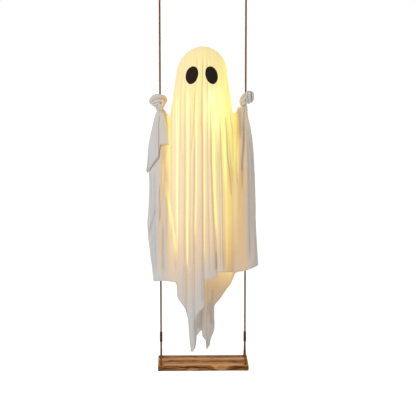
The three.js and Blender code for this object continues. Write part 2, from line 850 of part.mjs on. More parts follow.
/** A round-headed wood screw, pointing up through the plate. */
function plateScrew(x) {
  const head = plateTop - plateThickness - gap;
  const profile = [
    [0, head - plateScrewHeadDepth],
    [plateScrewHead * 0.3, head - plateScrewHeadDepth],
    [plateScrewHead / 2, head - plateScrewHeadDepth * 0.4],
    [plateScrewHead / 2, head],
    [plateScrewShank / 2, head],
    [plateScrewShank / 2, head + plateScrewLength * 0.7],
    [0, head + plateScrewLength],
  ];
  return turned(profile, x, 0, 12);
}

/** The seat board, with rounded long edges and a flared hole for each rope leg. */
function seatBoard() {
  const [y, top, low, r] = [seatDepth / 2, -seatTopDrop, -seatUnder, seatEdgeRound];
  const outline = new THREE.Shape();
  outline.absarc(y - r, top - r, r, 0, Math.PI / 2, false);
  outline.absarc(-y + r, top - r, r, Math.PI / 2, Math.PI, false);
  outline.absarc(-y + r, low + r, r, Math.PI, (Math.PI * 3) / 2, false);
  outline.absarc(y - r, low + r, r, (Math.PI * 3) / 2, Math.PI * 2, false);
  const points = outline.getPoints(3).slice(0, -1).map((p) => [p.x, p.y]);
  const board = plateAcross(points, -seatLength / 2, seatLength / 2);
  const wide = seatHoleRadius + seatHoleFlare + cutOverrun;
  const holes = [];
  for (const x of [-ropeX, ropeX]) {
    for (const holeY of [-seatHoleY, seatHoleY]) {
      const waist = seatThickness / 2 - seatHoleFlare;
      const middle = (top + low) / 2;
      const profile = [
        [0, low - cutOverrun],
        [wide, low - cutOverrun],
        [seatHoleRadius, middle - waist],
        [seatHoleRadius, middle + waist],
        [wide, top + cutOverrun],
        [0, top + cutOverrun],
      ];
      holes.push(turned(profile, x, holeY, 12));
    }
  }
  return cut(board, ...holes);
}

// Head form, post, arms and clamps

const housingTopDrop = notchDropLeft - housingAboveNotch;
const housingTop = -housingTopDrop;
const armSocketDrop = housingTopDrop + armSocketBelowTop;
const armElbowDrop = armSocketDrop - armElbowRise;
const switchDrop = housingTopDrop + switchBelowTop;
const boardDrop = housingTopDrop + boardBelowTop;
const housingLow = housingTop - housingHeight;
const headTop = -hoodTopDrop - clothWall - gap;

/** The translucent head form: a thin crown, open below, with a boss for the post. */
function headForm() {
  const steps = 6;
  const radiusAt = (fall) =>
    Math.max(0, gownRadius(hoodTopDrop + fall) - headInset * Math.sqrt(clamp01(fall / headInset)));
  const outer = [];
  const inner = [];
  for (let i = 0; i <= steps; i++) {
    const fall = headFormHeight * (1 - Math.cos((i / steps) * (Math.PI / 2)));
    outer.push([radiusAt(fall), headTop - fall]);
    if (radiusAt(fall) - headWall > headBossRadius && fall > headWall) {
      inner.push([radiusAt(fall) - headWall, headTop - fall - (i < steps ? headWall : 0)]);
    }
  }
  const hole = postDiameter / 2 + gap;
  const bossEnd = headTop - headBossDepth;
  const profile = [
    [0, headTop - headBossDepth + postInsert],
    [hole, headTop - headBossDepth + postInsert],
    [hole, bossEnd],
    [headBossRadius, bossEnd],
    [headBossRadius, inner[0][1]],
    ...inner,
    ...outer.reverse(),
  ];
  return turned(profile, gownLean(hoodTopDrop), 0, 24);
}

const clampTop = (side) => -neckDropOf(side) + clampRise;
const clampLow = (side) => clampTop(side) - clampHeight;
const wireReach = ropeX - (ropeRadius + gap + clampRadius) / 2;

const outShares = [0.45, 0.75, 0.93];
const sagShare = 0.6;
const liftShare = 0.1;
const riseShare = 0.55;

/** The route of an arm wire, from its socket in the housing up to the clamp. */
function armRoute(side) {
  const neck = neckDropOf(side);
  const sink = notchDropOf(side) - neck;
  const socket = housingHalfWidth + armSocketLength / 2;
  return [
    [side * socket, 0, -armSocketDrop],
    [side * (socket + armSocketLength), 0, -armSocketDrop],
    [side * mix(socket, wireReach, outShares[0]), 0, -mix(armElbowDrop, armSocketDrop, sagShare)],
    [side * mix(socket, wireReach, outShares[1]), 0, -armElbowDrop + sink * liftShare],
    [side * mix(socket, wireReach, outShares[2]), 0, -mix(neck, armElbowDrop, riseShare)],
    [side * wireReach, 0, -neck - armWire],
    [side * wireReach, 0, clampLow(side) - gap],
  ];
}

/** The clamp that grips a rope inside the knotted hand. */
const ropeClamp = (side) =>
  ring(ropeRadius + gap, clampRadius, clampLow(side), clampTop(side), side * ropeX, 0, 16);

// Housing and what it holds

const innerTop = housingTop - housingWall;
const innerLow = housingLow + housingWall;
const innerSide = housingHalfWidth - housingWall;
const innerBack = housingHalfDepth - housingWall;
const motorZ = housingTop - motorAxisBelowTop;
const centreDistance = ((pinionTeeth + gearTeeth) * gearModule) / 2 + gearCentreSlack;
const shaftZ = motorZ - centreDistance;
const gearLeft = -motorLeft + motorLength + gap * 4;
const gearRight = gearLeft + gearWidth;
const partitionLeft = gearRight + shaftPartition;
const partitionRight = partitionLeft + partitionWall;
const armRight = gearLeft - armFromGear;
const armLeft = armRight - armThickness;
const postX = gownLean(hoodTopDrop);
const postBossDepth = postInsert + housingWall;
const screwX = housingHalfWidth - screwInsetX;
const screwZs = [housingTop - screwInsetZ, housingLow + screwInsetZ];
const cellXs = [cellBayLeft + cellRadius, cellBayLeft + cellRadius + cellPitch];
const cellLow = innerLow + bayFloor + contactThickness + gap * 2;
const cellY = innerBack - cellRadius - gap;
const doorTop = cellLow + cellLength + contactThickness + bayFloor;
const doorLow = innerLow + bayFloor;
const doorLeft = cellXs[0] - cellRadius;
const doorRight = cellXs[1] + cellRadius;

/** The rounded outline of the housing, made deep from one Y to another. */
function housingBlock(inset, y0, y1) {
  const [x, r] = [housingHalfWidth - inset, housingCorner - inset];
  const [top, low] = [housingTop - inset, housingLow + inset];
  const shape = new THREE.Shape();
  shape.absarc(x - r, top - r, r, 0, Math.PI / 2, false);
  shape.absarc(-x + r, top - r, r, Math.PI / 2, Math.PI, false);
  shape.absarc(-x + r, low + r, r, Math.PI, (Math.PI * 3) / 2, false);
  shape.absarc(x - r, low + r, r, (Math.PI * 3) / 2, Math.PI * 2, false);
  const solid = new THREE.ExtrudeGeometry(shape, {
    depth: y1 - y0,
    curveSegments: 4,
    bevelEnabled: false,
  });
  return solid.rotateX(Math.PI / 2).translate(0, y1, 0);
}

/** The back shell: sockets for the arms and post, seats for motor, bushes, cells and switch. */
function housingBack() {
  const shell = cut(
    housingBlock(0, -partingDepth + gap / 2, housingHalfDepth),
    housingBlock(housingWall, -partingDepth - cutOverrun, innerBack),
  );
  const sockets = [LEFT, RIGHT].map((side) => {
    const ends = [side * innerSide, side * (housingHalfWidth + armSocketLength)].sort((a, b) => a - b);
    return bar("x", armSocketRadius, ends[0], ends[1], 0, -armSocketDrop, 16);
  });
  const socketHoles = [LEFT, RIGHT].map((side) => {
    const deep = side * (housingHalfWidth + armSocketLength / 2 - gap);
    const mouth = side * (housingHalfWidth + armSocketLength + cutOverrun);
    const ends = [deep, mouth].sort((a, b) => a - b);
    return bar("x", armWire / 2 + gap, ends[0], ends[1], 0, -armSocketDrop, 12);
  });
  const postEnd = housingTop + postInsert;
  const postBoss = bar("z", headBossRadius, innerTop - housingWall, postEnd, postX, 0, 20);
  const postHole = bar(
    "z",
    postDiameter / 2 + gap,
    housingTop,
    housingTop + postInsert + cutOverrun,
    postX,
    0,
    16,
  );
  const partition = block(
    partitionLeft,
    partitionRight,
    -partingDepth + gap,
    innerBack + housingWall / 2,
    innerLow - housingWall / 2,
    shaftZ + bushRadius * 3,
  );
  const bushHoles = bar(
    "x",
    bushRadius + gap / 2,
    -housingHalfWidth - cutOverrun,
    partitionRight + cutOverrun,
    0,
    shaftZ,
    20,
  );
  const cradleSpots = [-motorLeft, gearLeft - cradleWidth - gap * 8];
  const cradles = cradleSpots.map((x) =>
    block(
      x,
      x + cradleWidth,
      motorRadius * 0.55,
      innerBack + housingWall / 2,
      motorZ - motorRadius * 0.7,
      motorZ + motorRadius * 0.7,
    ),
  );
  const motorRoom = bar("x", motorRadius + gap, -innerSide, gearLeft, 0, motorZ, 24);
  const posts = screwZs.flatMap((z) =>
    [-screwX, screwX].map((x) =>
      bar("y", screwPostRadius, -partingDepth + gap / 2, innerBack + housingWall / 2, x, z, 12),
    ),
  );
  const biteEnd = screwBite - partingDepth + gap * 2;
  const postHoles = screwZs.flatMap((z) =>
    [-screwX, screwX].map((x) =>
      bar("y", screwShank / 2 + gap, -partingDepth - cutOverrun, biteEnd, x, z, 10),
    ),
  );
  const bayShelf = block(
    doorLeft,
    doorRight,
    cellY - cellRadius,
    innerBack + housingWall / 2,
    innerLow - housingWall / 2,
    innerLow + bayFloor,
  );
  const bayCeiling = block(
    doorLeft - gap,
    doorRight + gap,
    cellY - cellRadius,
    innerBack + housingWall / 2,
    cellLow + cellLength + contactThickness + gap * 2,
    cellLow + cellLength + contactThickness + gap * 2 + bayFloor,
  );
  const bayBack = block(
    doorLeft - gap,
    doorRight + gap,
    cellY - cellRadius - gap - bayFloor,
    cellY - cellRadius - gap,
    innerLow - housingWall / 2,
    cellLow + cellLength + contactThickness + gap * 2 + bayFloor,
  );
  const bayMouth = block(
    doorLeft,
    doorRight,
    innerBack - gap,
    housingHalfDepth + cutOverrun,
    doorLow + gap,
    doorTop - bayFloor,
  );
  const railRoot = housingHalfDepth - housingWall / 2;
  const railLip = housingHalfDepth + doorThickness + gap * 2;
  const rails = [
    [doorLeft - doorLap - gap - doorRail, doorLeft - doorLap - gap],
    [doorRight + doorLap + gap, doorRight + doorLap + gap + doorRail],
  ].flatMap(([x0, x1], right) => {
    const [lipLeft, lipRight] = right ? [x0 - doorRail, x1] : [x0, x1 + doorRail];
    return [
      block(x0, x1, railRoot, railLip + doorRail, doorLow, doorTop),
      block(lipLeft, lipRight, railLip, railLip + doorRail, doorLow, doorTop),
    ];
  });
  const armSlot = block(
    armLeft - armThickness,
    armRight + armThickness,
    -partingDepth - cutOverrun,
    (shaftZ - housingLow) * Math.tan(THREE.MathUtils.degToRad(armSwingDegrees)) + armWidth,
    housingLow - cutOverrun,
    innerLow + gap,
  );
  const switchSlot = block(
    switchCentreX - (switchWidth + switchTravel) / 2 - gap,
    switchCentreX + (switchWidth + switchTravel) / 2 + gap,
    innerBack - cutOverrun,
    housingHalfDepth + cutOverrun,
    -switchDrop - switchHeight / 2 - gap,
    -switchDrop + switchHeight / 2 + gap,
  );
  const lampHole = bar(
    "z",
    lampSocketRadius + gap,
    innerTop - cutOverrun,
    housingTop + cutOverrun,
    lampX,
    0,
    20,
  );
  const body = join(
    shell,
    ...sockets,
    postBoss,
    partition,
    ...cradles,
    ...posts,
    bayShelf,
    bayCeiling,
    bayBack,
    ...rails,
  );
  const holes = [...socketHoles, postHole, bushHoles, ...postHoles, lampHole];
  return cut(body, ...holes, motorRoom, bayMouth, armSlot, switchSlot);
}

/** The front cover, with its screw holes, slot for the arm and posts for the board. */
function housingFront() {
  const shell = cut(
    housingBlock(0, -housingHalfDepth, -partingDepth - gap / 2),
    housingBlock(housingWall, -innerBack, -partingDepth + cutOverrun),
  );
  const posts = screwZs.flatMap((z) =>
    [-screwX, screwX].map((x) =>
      bar("y", screwPostRadius, -innerBack - housingWall / 2, -partingDepth - gap / 2, x, z, 12),
    ),
  );
  const holes = screwZs.flatMap((z) =>
    [-screwX, screwX].map((x) =>
      bar("y", screwShank / 2 + gap, -housingHalfDepth - cutOverrun, -partingDepth + cutOverrun, x, z, 10),
    ),
  );
  const boardPosts = [LEFT, RIGHT].map((side) =>
    bar(
      "y",
      boardPostRadius,
      -innerBack - housingWall / 2,
      -innerBack + boardFromFront,
      boardX + side * (boardWidth / 2 - boardPostRadius * 2),
      -boardDrop,
      10,
    ),
  );
  const armSlot = block(
    armLeft - armThickness,
    armRight + armThickness,
    -(shaftZ - housingLow) * Math.tan(THREE.MathUtils.degToRad(armSwingDegrees)) - armWidth,
    cutOverrun - partingDepth,
    housingLow - cutOverrun,
    innerLow + gap,
  );
  const lampHole = bar(
    "z",
    lampSocketRadius + gap,
    innerTop - cutOverrun,
    housingTop + cutOverrun,
    lampX,
    0,
    20,
  );
  return cut(join(shell, ...posts, ...boardPosts), ...holes, armSlot, lampHole);
}

const boardX = housingHalfWidth - housingWall - boardWidth / 2 - screwPostRadius * 2;

/** A cover screw, with its head on the front of the cover. */
function coverScrew(x, z) {
  const head = -housingHalfDepth - gap;
  const shank = bar("y", screwShank / 2, head - screwHeadDepth / 2, screwBite - partingDepth, x, z, 8);
  const cap = bar("y", screwHead / 2, head - screwHeadDepth, head, x, z, 12);
  return join(shank, cap);
}

/** The outline of a toothed wheel in Y and Z, about a place. */
function wheelOutline(teeth, y, z, phase) {
  const pitch = (teeth * gearModule) / 2;
  const tip = pitch + gearModule * 0.8;
  const root = pitch - gearModule * 1.15;
  const step = (2 * Math.PI) / teeth;
  const halfAtPitch = step * 0.225;
  const slope = (Math.tan(THREE.MathUtils.degToRad(20)) * gearModule * 0.8) / pitch;
  const shares = [
    [root, -halfAtPitch - slope * 1.2],
    [tip, -halfAtPitch + slope],
    [tip, halfAtPitch - slope],
    [root, halfAtPitch + slope * 1.2],
  ];
  const outline = [];
  for (let i = 0; i < teeth; i++) {
    for (const [radius, offset] of shares) {
      const turn = phase + i * step + offset;
      outline.push([y + radius * Math.cos(turn), z + radius * Math.sin(turn)]);
    }
  }
  return outline;
}

/** The gear on the swinging shaft: one tooth gap looks straight up at the pinion. */
function driveGear() {
  const up = Math.PI / 2 + Math.PI / gearTeeth;
  const wheel = plateAcross(wheelOutline(gearTeeth, 0, shaftZ, up), gearLeft, gearRight);
  const bore = bar("x", shaftRadius + gap, gearLeft - cutOverrun, gearRight + cutOverrun, 0, shaftZ, 14);
  const reach = (gearTeeth * gearModule) / 4 + shaftRadius;
  const windows = [0, 1, 2, 3].map((quarter) => {
    const turn = Math.PI / 4 + (quarter * Math.PI) / 2;
    const [y, z] = [reach * Math.cos(turn), reach * Math.sin(turn)];
    return bar("x", gearModule * 4.5, gearLeft - cutOverrun, gearRight + cutOverrun, y, shaftZ + z, 12);
  });
  return cut(wheel, bore, ...windows);
}

/** The motor's pinion: one tooth looks straight down at the gear. */
function motorPinion() {
  const wheel = plateAcross(wheelOutline(pinionTeeth, 0, motorZ, -Math.PI / 2), gearLeft, gearRight);
  const bore = bar(
    "x",
    motorShaftRadius + gap,
    gearLeft - cutOverrun,
    gearRight + cutOverrun,
    0,
    motorZ,
    12,
  );
  return cut(wheel, bore);
}

/** The motor's can with its end boss and thin shaft. */
function motorBody() {
  const right = -motorLeft + motorLength;
  const can = bar("x", motorRadius, -motorLeft, right - gap, 0, motorZ, 24);
  const shaft = bar("x", motorShaftRadius, right - gap * 2, right + motorShaftLength, 0, motorZ, 12);
  return join(can, shaft);
}

/** The shaft that carries gear and arm. */
const driveShaft = () =>
  bar("x", shaftRadius, -innerSide - housingWall / 2, partitionRight, 0, shaftZ, 14);

/** A flanged bush for the shaft; the flange lies on the inner side of the wall it sits in. */
function shaftBush(x0, x1, flangeX0) {
  const body = bar("x", bushRadius, x0, x1, 0, shaftZ, 14);
  const flange = bar("x", bushFlange, flangeX0, flangeX0 + bushFlangeDepth, 0, shaftZ, 14);
  const bore = bar("x", shaftRadius + shaftClearance, x0 - cutOverrun, x1 + cutOverrun, 0, shaftZ, 14);
  return cut(join(body, flange), bore);
}

const weightZ = shaftZ - armLength;

/** The flat arm with its hub. */
function weightArm() {
  const hub = bar("x", armHubRadius, armLeft - armThickness / 2, armRight, 0, shaftZ, 16);
  const strip = block(armLeft, armRight, -armWidth / 2, armWidth / 2, weightZ + weightRadius * 0.4, shaftZ);
  const bore = bar("x", shaftRadius + gap, armLeft - cutOverrun, armRight + cutOverrun, 0, shaftZ, 14);
  return cut(join(hub, strip), bore);
}

/** The weight: a short cylinder with a slot that takes the end of the arm. */
function swingWeight() {
  const middle = (armLeft + armRight) / 2;
  const disc = bar("x", weightRadius, middle - weightWidth / 2, middle + weightWidth / 2, 0, weightZ, 28);
  const slot = block(
    armLeft - gap,
    armRight + gap,
    -armWidth / 2 - gap,
    armWidth / 2 + gap,
    weightZ + weightRadius * 0.4 - gap,
    weightZ + weightRadius + cutOverrun,
  );
  return cut(disc, slot);
}

/** A cell, with its button up or down. */
function batteryCell(x, up) {
  const profile = [
    [0, 0],
    [cellRadius, 0],
    [cellRadius, cellLength - cellButtonHeight],
    [cellButtonRadius, cellLength - cellButtonHeight],
    [cellButtonRadius, cellLength],
    [0, cellLength],
  ];
  const cell = turned(profile, 0, 0, 18);
  if (!up) cell.rotateX(Math.PI).translate(0, 0, cellLength);
  return cell.translate(x, cellY, cellLow);
}

/** A contact plate across both cells. */
function cellContact(z0) {
  return block(
    cellXs[0] - cellRadius / 2,
    cellXs[1] + cellRadius / 2,
    cellY - contactWidth / 2,
    cellY + contactWidth / 2,
    z0,
    z0 + contactThickness,
  );
}

/** The sliding battery door, with grip ribs. */
function batteryDoor() {
  const y0 = housingHalfDepth + gap;
  const [left, right] = [doorLeft - doorLap, doorRight + doorLap];
  const panel = block(left, right, y0, y0 + doorThickness, doorLow, doorTop);
  const middle = (doorLeft + doorRight) / 2;
  const pitch = bayFloor * 2;
  const ribs = Array.from({ length: doorGripCount }, (_, i) =>
    block(
      middle - doorGripWidth / 2,
      middle + doorGripWidth / 2,
      y0 + doorThickness / 2,
      y0 + doorThickness + doorGripRise,
      doorTop - pitch * (i + 2),
      doorTop - pitch * (i + 2) + bayFloor / 2,
    ),
  );
  return join(panel, ...ribs);
}

/** The slide switch, off at the left end of its slot. */
function powerSwitch() {
  const left = switchCentreX - (switchWidth + switchTravel) / 2;
  const knob = block(
    left,
    left + switchWidth,
    innerBack - gap - switchFlange / 2,
    housingHalfDepth + switchRise,
    -switchDrop - switchHeight / 2,
    -switchDrop + switchHeight / 2,
  );
  const flange = block(
    left - switchTravel,
    left + switchWidth + switchTravel,
    innerBack - gap - switchFlange,
    innerBack - gap,
    -switchDrop - switchHeight / 2 - switchInnerRise,
    -switchDrop + switchHeight / 2 + switchInnerRise,
  );
  return join(knob, flange);
}

const packageShares = [0.28, 0.68];

/** The control board, with two packages on it. */
function controlBoard() {
  const y0 = -innerBack + boardFromFront + gap;
  const low = -boardDrop - boardHeight / 2;
  const left = boardX - boardWidth / 2;
  const sheet = block(left, left + boardWidth, y0, y0 + boardThickness, low, low + boardHeight);
  const chip = boardHeight / 3;
  const [chipLow, chipHigh] = [y0 + boardThickness / 2, y0 + boardThickness * 2];
  const packages = packageShares.map((share) => {
    const x = left + boardWidth * share;
    return block(x - chip / 2, x + chip / 2, chipLow, chipHigh, low + chip, low + chip * 2);
  });
  return join(sheet, ...packages);
}

/** The lamp socket, seated through the top of the housing. */
function lampSocket() {
  const low = housingTop - lampSocketSeat;
  const top = housingTop + lampSocketHeight;
  const cup = lampNeckRadius + gap;
  const profile = [
    [0, low],
    [lampSocketRadius, low],
    [lampSocketRadius, housingTop + gap],
    [lampSocketRadius + lampSocketFlange, housingTop + gap],
    [lampSocketRadius + lampSocketFlange, housingTop + gap + lampSocketFlange],
    [lampSocketRadius, housingTop + gap + lampSocketFlange],
    [lampSocketRadius, top],
    [cup, top],
    [cup, top - lampNeckLength],
    [0, top - lampNeckLength],
  ];
  return turned(profile, lampX, 0, 20);
}

/** The lamp: an opal globe on a short neck. */
function lampGlobe() {
  const neckLow = housingTop + lampSocketHeight - lampNeckLength + gap;
  const centre = neckLow + lampNeckLength + lampGlobeRadius * 0.9;
  const profile = [[0, neckLow], [lampNeckRadius, neckLow]];
  const start = Math.asin(lampNeckRadius / lampGlobeRadius);
  for (let i = 0; i <= 8; i++) {
    const turn = mix(start, Math.PI, i / 8);
    profile.push([
      i === 8 ? 0 : lampGlobeRadius * Math.sin(turn),
      centre - lampGlobeRadius * Math.cos(turn),
    ]);
  }
  return turned(profile, lampX, 0, 20);
}

/** The lead from the lamp socket to the board. */
function lampLead() {
  const socketLow = housingTop - lampSocketSeat - gap;
  const boardY = -innerBack + boardFromFront + boardThickness + gap * 2;
  const x = lampX + leadDiameter;
  return tube(
    [
      [x, 0, socketLow],
      [x, 0, socketLow - leadDiameter],
      [x, -leadDiameter * 0.6, socketLow - leadDiameter * 2],
      [x, mix(0, boardY, 0.55), socketLow - leadDiameter * 2.9],
      [x, boardY + leadDiameter, socketLow - leadDiameter * 3],
      [x, boardY + gap, socketLow - leadDiameter * 3],
    ],
    leadDiameter,
    8,
    2,
  );
}

/** The neck post, from the housing up into the head form. */
const neckPost = () =>
  bar(
    "z",
    postDiameter / 2,
    housingTop + gap,
    headTop - headBossDepth + postInsert - gap,
    postX,
    0,
    16,
  );

// The assembly

const ghostSwing = new THREE.Group();
const bodies = {};
for (const name of ["ceiling", "swing", "drive", "pinion", "switch", "door"]) {
  bodies[name] = new THREE.Group();
  ghostSwing.add(bodies[name]);
}

function place(body, name, geometry, material) {
  const mesh = new THREE.Mesh(geometry, material.clone());
  mesh.name = name;
  bodies[body].add(mesh);
}

for (const [word, side] of [["left", LEFT], ["right", RIGHT]]) {
  const x = side * ropeX;
  place("ceiling", `ceiling_plate_${word}`, ceilingPlate(x), finishes.plate);
  place("ceiling", `ceiling_hook_${word}`, ceilingHook(x), finishes.steel);
  for (const [index, reach] of [[1, -plateScrewReach], [2, plateScrewReach]]) {
    place("ceiling", `plate_screw_${word}_${index}`, plateScrew(x + reach), finishes.steel);
  }
  place("swing", `rope_${word}`, tube(ropeRoute(x), ropeDiameter, 8, 1), finishes.rope);
  place("swing", `top_binding_${word}`, binding(x, topBindingDrop, topBindingHeight), finishes.binding);
  place(
    "swing",
    `low_binding_${word}`,
    binding(x, forkDrop - lowBindingHeight, lowBindingHeight),
    finishes.binding,
  );
  place("swing", `rope_clamp_${word}`, ropeClamp(side), finishes.steel);
  place("swing", `arm_wire_${word}`, tube(armRoute(side), armWire), finishes.steel);
  place("swing", `hand_knot_${word}`, knottedHand(side), finishes.cloth);
  place("swing", `side_drape_${word}`, sideDrape(side), finishes.cloth);
  place("swing", `eye_patch_${word}`, eyePatch(side), finishes.eye);
}
place("swing", "seat_board", seatBoard(), finishes.seat);
place("swing", "gown_front", gownPanel(FRONT, frontColumns), finishes.cloth);
place("swing", "gown_back", gownPanel(BACK, backColumns), finishes.cloth);
place("swing", "sleeve_flap", sleeveFlap(), finishes.cloth);
place("swing", "head_form", headForm(), finishes.form);
place("swing", "neck_post", neckPost(), finishes.steel);
place("swing", "housing_back", housingBack(), finishes.housing);
place("swing", "housing_front", housingFront(), finishes.housing);
screwZs.forEach((z, row) =>
  [-screwX, screwX].forEach((x, column) =>
    place("swing", `cover_screw_${row * 2 + column + 1}`, coverScrew(x, z), finishes.steel),
  ),
);
place("swing", "motor", motorBody(), finishes.steel);
place(
  "swing",
  "shaft_bush_left",
  shaftBush(-housingHalfWidth, -innerSide + gap + bushFlangeDepth, -innerSide + gap),
  finishes.gear,
);
place(
  "swing",
  "shaft_bush_right",
  shaftBush(partitionLeft - gap - bushFlangeDepth, partitionRight, partitionLeft - gap - bushFlangeDepth),
  finishes.gear,
);
place("swing", "battery_cell_1", batteryCell(cellXs[0], true), finishes.cell);
place("swing", "battery_cell_2", batteryCell(cellXs[1], false), finishes.cell);
place("swing", "cell_contact_low", cellContact(cellLow - gap - contactThickness), finishes.steel);
place("swing", "cell_contact_top", cellContact(cellLow + cellLength + gap), finishes.steel);
place("swing", "control_board", controlBoard(), finishes.board);
place("swing", "lamp_socket", lampSocket(), finishes.housing);
place("swing", "lamp_globe", lampGlobe(), finishes.lamp);
place("swing", "lamp_lead", lampLead(), finishes.lead);
place("drive", "drive_shaft", driveShaft(), finishes.steel);
place("drive", "drive_gear", driveGear(), finishes.gear);
place("drive", "weight_arm", weightArm(), finishes.steel);
place("drive", "swing_weight", swingWeight(), finishes.steel);
place("pinion", "motor_pinion", motorPinion(), finishes.gear);
place("switch", "power_switch", powerSwitch(), finishes.switch);
place("door", "battery_door", batteryDoor(), finishes.housing);

export default ghostSwing;
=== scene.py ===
"""The looks of a lit cloth ghost that hangs by its hands on two ropes, over a wooden swing seat.

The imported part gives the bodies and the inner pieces. This script makes the cloth, the ropes, the
knots, the eyes, the seat and every finish, and stages them in a white studio. Sizes are written in
millimetres and become metres when a mesh is made. The front looks towards -Y, and a drop is a
distance below the line about which the swing swings.
"""

import logging
import math
from collections.abc import Callable
from dataclasses import dataclass, field
from enum import Enum

import bpy
import numpy as np
from bpy.types import Material, Node, NodeSocket, NodeTree, Object
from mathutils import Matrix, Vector, noise


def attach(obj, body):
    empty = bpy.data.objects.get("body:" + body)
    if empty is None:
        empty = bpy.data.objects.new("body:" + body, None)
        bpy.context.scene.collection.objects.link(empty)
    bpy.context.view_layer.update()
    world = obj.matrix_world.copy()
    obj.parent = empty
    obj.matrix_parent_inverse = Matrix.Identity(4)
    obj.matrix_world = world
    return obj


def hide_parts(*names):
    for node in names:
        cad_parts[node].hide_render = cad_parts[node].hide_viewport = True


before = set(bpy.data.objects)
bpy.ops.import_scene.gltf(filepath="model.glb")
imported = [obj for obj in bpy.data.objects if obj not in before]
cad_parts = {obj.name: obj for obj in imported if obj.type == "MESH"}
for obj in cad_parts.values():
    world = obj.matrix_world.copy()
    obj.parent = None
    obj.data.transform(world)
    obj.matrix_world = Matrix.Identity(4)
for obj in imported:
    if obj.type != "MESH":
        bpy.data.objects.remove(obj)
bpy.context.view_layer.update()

logging.basicConfig(level=logging.INFO, format="%(message)s")
LOG = logging.getLogger("ghost")

MM = 0.001
SWING = "ghost_swing"

# In millimetres: the seat's drop, the ropes' reach, and how near points are that merge
SEAT_TOP = 1304.0
ROPE_REACH = 142.0
WELD = 0.02

Colour = tuple[float, float, float]
Place = tuple[float, float, float]
Table = tuple[tuple[float, float], ...]
Numbers = float | np.ndarray
Three = tuple[Numbers, Numbers, Numbers]
Source = NodeSocket | float | Colour


class Side(Enum):
    """Left and right, as seen from in front of the part."""

    LEFT = -1
    RIGHT = 1

    @property
    def word(self) -> str:
        """The word that ends the names of pieces on this side."""
        return self.name.lower()


class Face(Enum):
    """The two faces of the gown."""

    FRONT = -1
    BACK = 1


# Small helpers


def mix(a: Numbers, b: Numbers, share: Numbers) -> Numbers:
    """The value at a share of the way from one value to another."""
    return a + (b - a) * share


def ease(share: Numbers) -> Numbers:
    """A share, held between 0 and 1, that starts and ends gently."""
    held = np.clip(share, 0.0, 1.0)
    return held * held * (3 - 2 * held)


def rising(place: Numbers, start: float, length: float) -> Numbers:
    """Goes gently from 0 at a start to 1 at a length beyond it."""
    return ease((place - start) / length)


def falling(place: Numbers, end: float, length: float) -> Numbers:
    """Goes gently from 1 to 0 over the length that leads to an end."""
    return ease((end - place) / length)


def bell(place: Numbers, centre: Numbers, half_width: float) -> Numbers:
    """A smooth bump of height 1 at a centre and about a third at its half width."""
    return np.exp(-(((place - centre) / half_width) ** 2))


def look_up(table: Table, place: Numbers) -> Numbers:
    """The value at a place in a table of (place, value) rows, in straight steps."""
    return np.interp(place, [row[0] for row in table], [row[1] for row in table])


def ripple(
    place: np.ndarray, drop: np.ndarray, across: float, down: float, seed: float
) -> np.ndarray:
    """Soft noise that is longer down than across.

    Args:
        place: Places across, in millimetres.
        drop: Drops, in millimetres.
        across: The size of a ripple across.
        down: Its size downwards.
        seed: Shifts the pattern.

    Returns:
        Values from about -1 to 1.
    """
    return np.array(
        [
            noise.noise(Vector((a / across + seed, d / down - seed, seed * 0.37)))
            for a, d in zip(np.ravel(place), np.ravel(drop))
        ]
    ).reshape(np.shape(place))


def mesh_piece(name: str, places: np.ndarray | list, faces: np.ndarray | list) -> Object:
    """Makes an object from places in millimetres and faces.

    Args:
        name: The piece's name.
        places: An array of points, in millimetres.
        faces: Index lists.

    Returns:
        The new object, at the origin.
    """
    mesh = bpy.data.meshes.new(name)
    mesh.from_pydata((np.asarray(places, float) * MM).tolist(), [], [list(f) for f in faces])
    return put_in_scene(name, mesh)


def put_in_scene(name: str, data: bpy.types.ID) -> Object:
    """Makes an object of a mesh, a camera or a light.

    Args:
        name: The object's name.
        data: What it shows.

    Returns:
        The new object, at the origin.
    """
    piece = bpy.data.objects.new(name, data)
    bpy.context.collection.objects.link(piece)
    return piece


def pick_only(*pieces: Object) -> None:
    """Selects pieces alone and makes the first one active.

    Args:
        *pieces: The pieces.
    """
    bpy.ops.object.select_all(action="DESELECT")
    for piece in pieces:
        piece.select_set(True)
    bpy.context.view_layer.objects.active = pieces[0]


def modify(piece: Object, kind: str, **values: object) -> None:
    """Adds a modifier to a piece.

    Args:
        piece: The piece.
        kind: The modifier's type.
        **values: Its settings.
    """
    modifier = piece.modifiers.new(kind.lower(), kind)
    for name, value in values.items():
        setattr(modifier, name, value)


def apply_modifiers(piece: Object) -> None:
    """Applies every modifier on a piece, in order.

    Args:
        piece: The piece.
    """
    pick_only(piece)
    for modifier in list(piece.modifiers):
        bpy.ops.object.modifier_apply(modifier=modifier.name)


def edit_all(piece: Object, tool: Callable[..., object], **values: object) -> None:
    """Uses one of Blender's mesh tools on a whole piece.

    Args:
        piece: The piece.
        tool: The tool.
        **values: Its settings.
    """
    pick_only(piece)
    bpy.ops.object.mode_set(mode="EDIT")
    bpy.ops.mesh.select_all(action="SELECT")
    tool(**values)
    bpy.ops.object.mode_set(mode="OBJECT")


def weld(piece: Object) -> None:
    """Merges the doubled points of a piece."""
    edit_all(piece, bpy.ops.mesh.remove_doubles, threshold=WELD * MM)


def face_outwards(piece: Object) -> None:
    """Turns every face of a closed piece outwards."""
    edit_all(piece, bpy.ops.mesh.normals_make_consistent, inside=False)


def join_pieces(name: str, pieces: list[Object]) -> Object:
    """Joins pieces into one object.

    Args:
        name: The name of the result.
        pieces: The pieces, which share no mesh.

    Returns:
        The joined piece.
    """
    pick_only(*pieces)
    bpy.ops.object.join()
    pieces[0].name = name
    pieces[0].data.name = name
    return pieces[0]


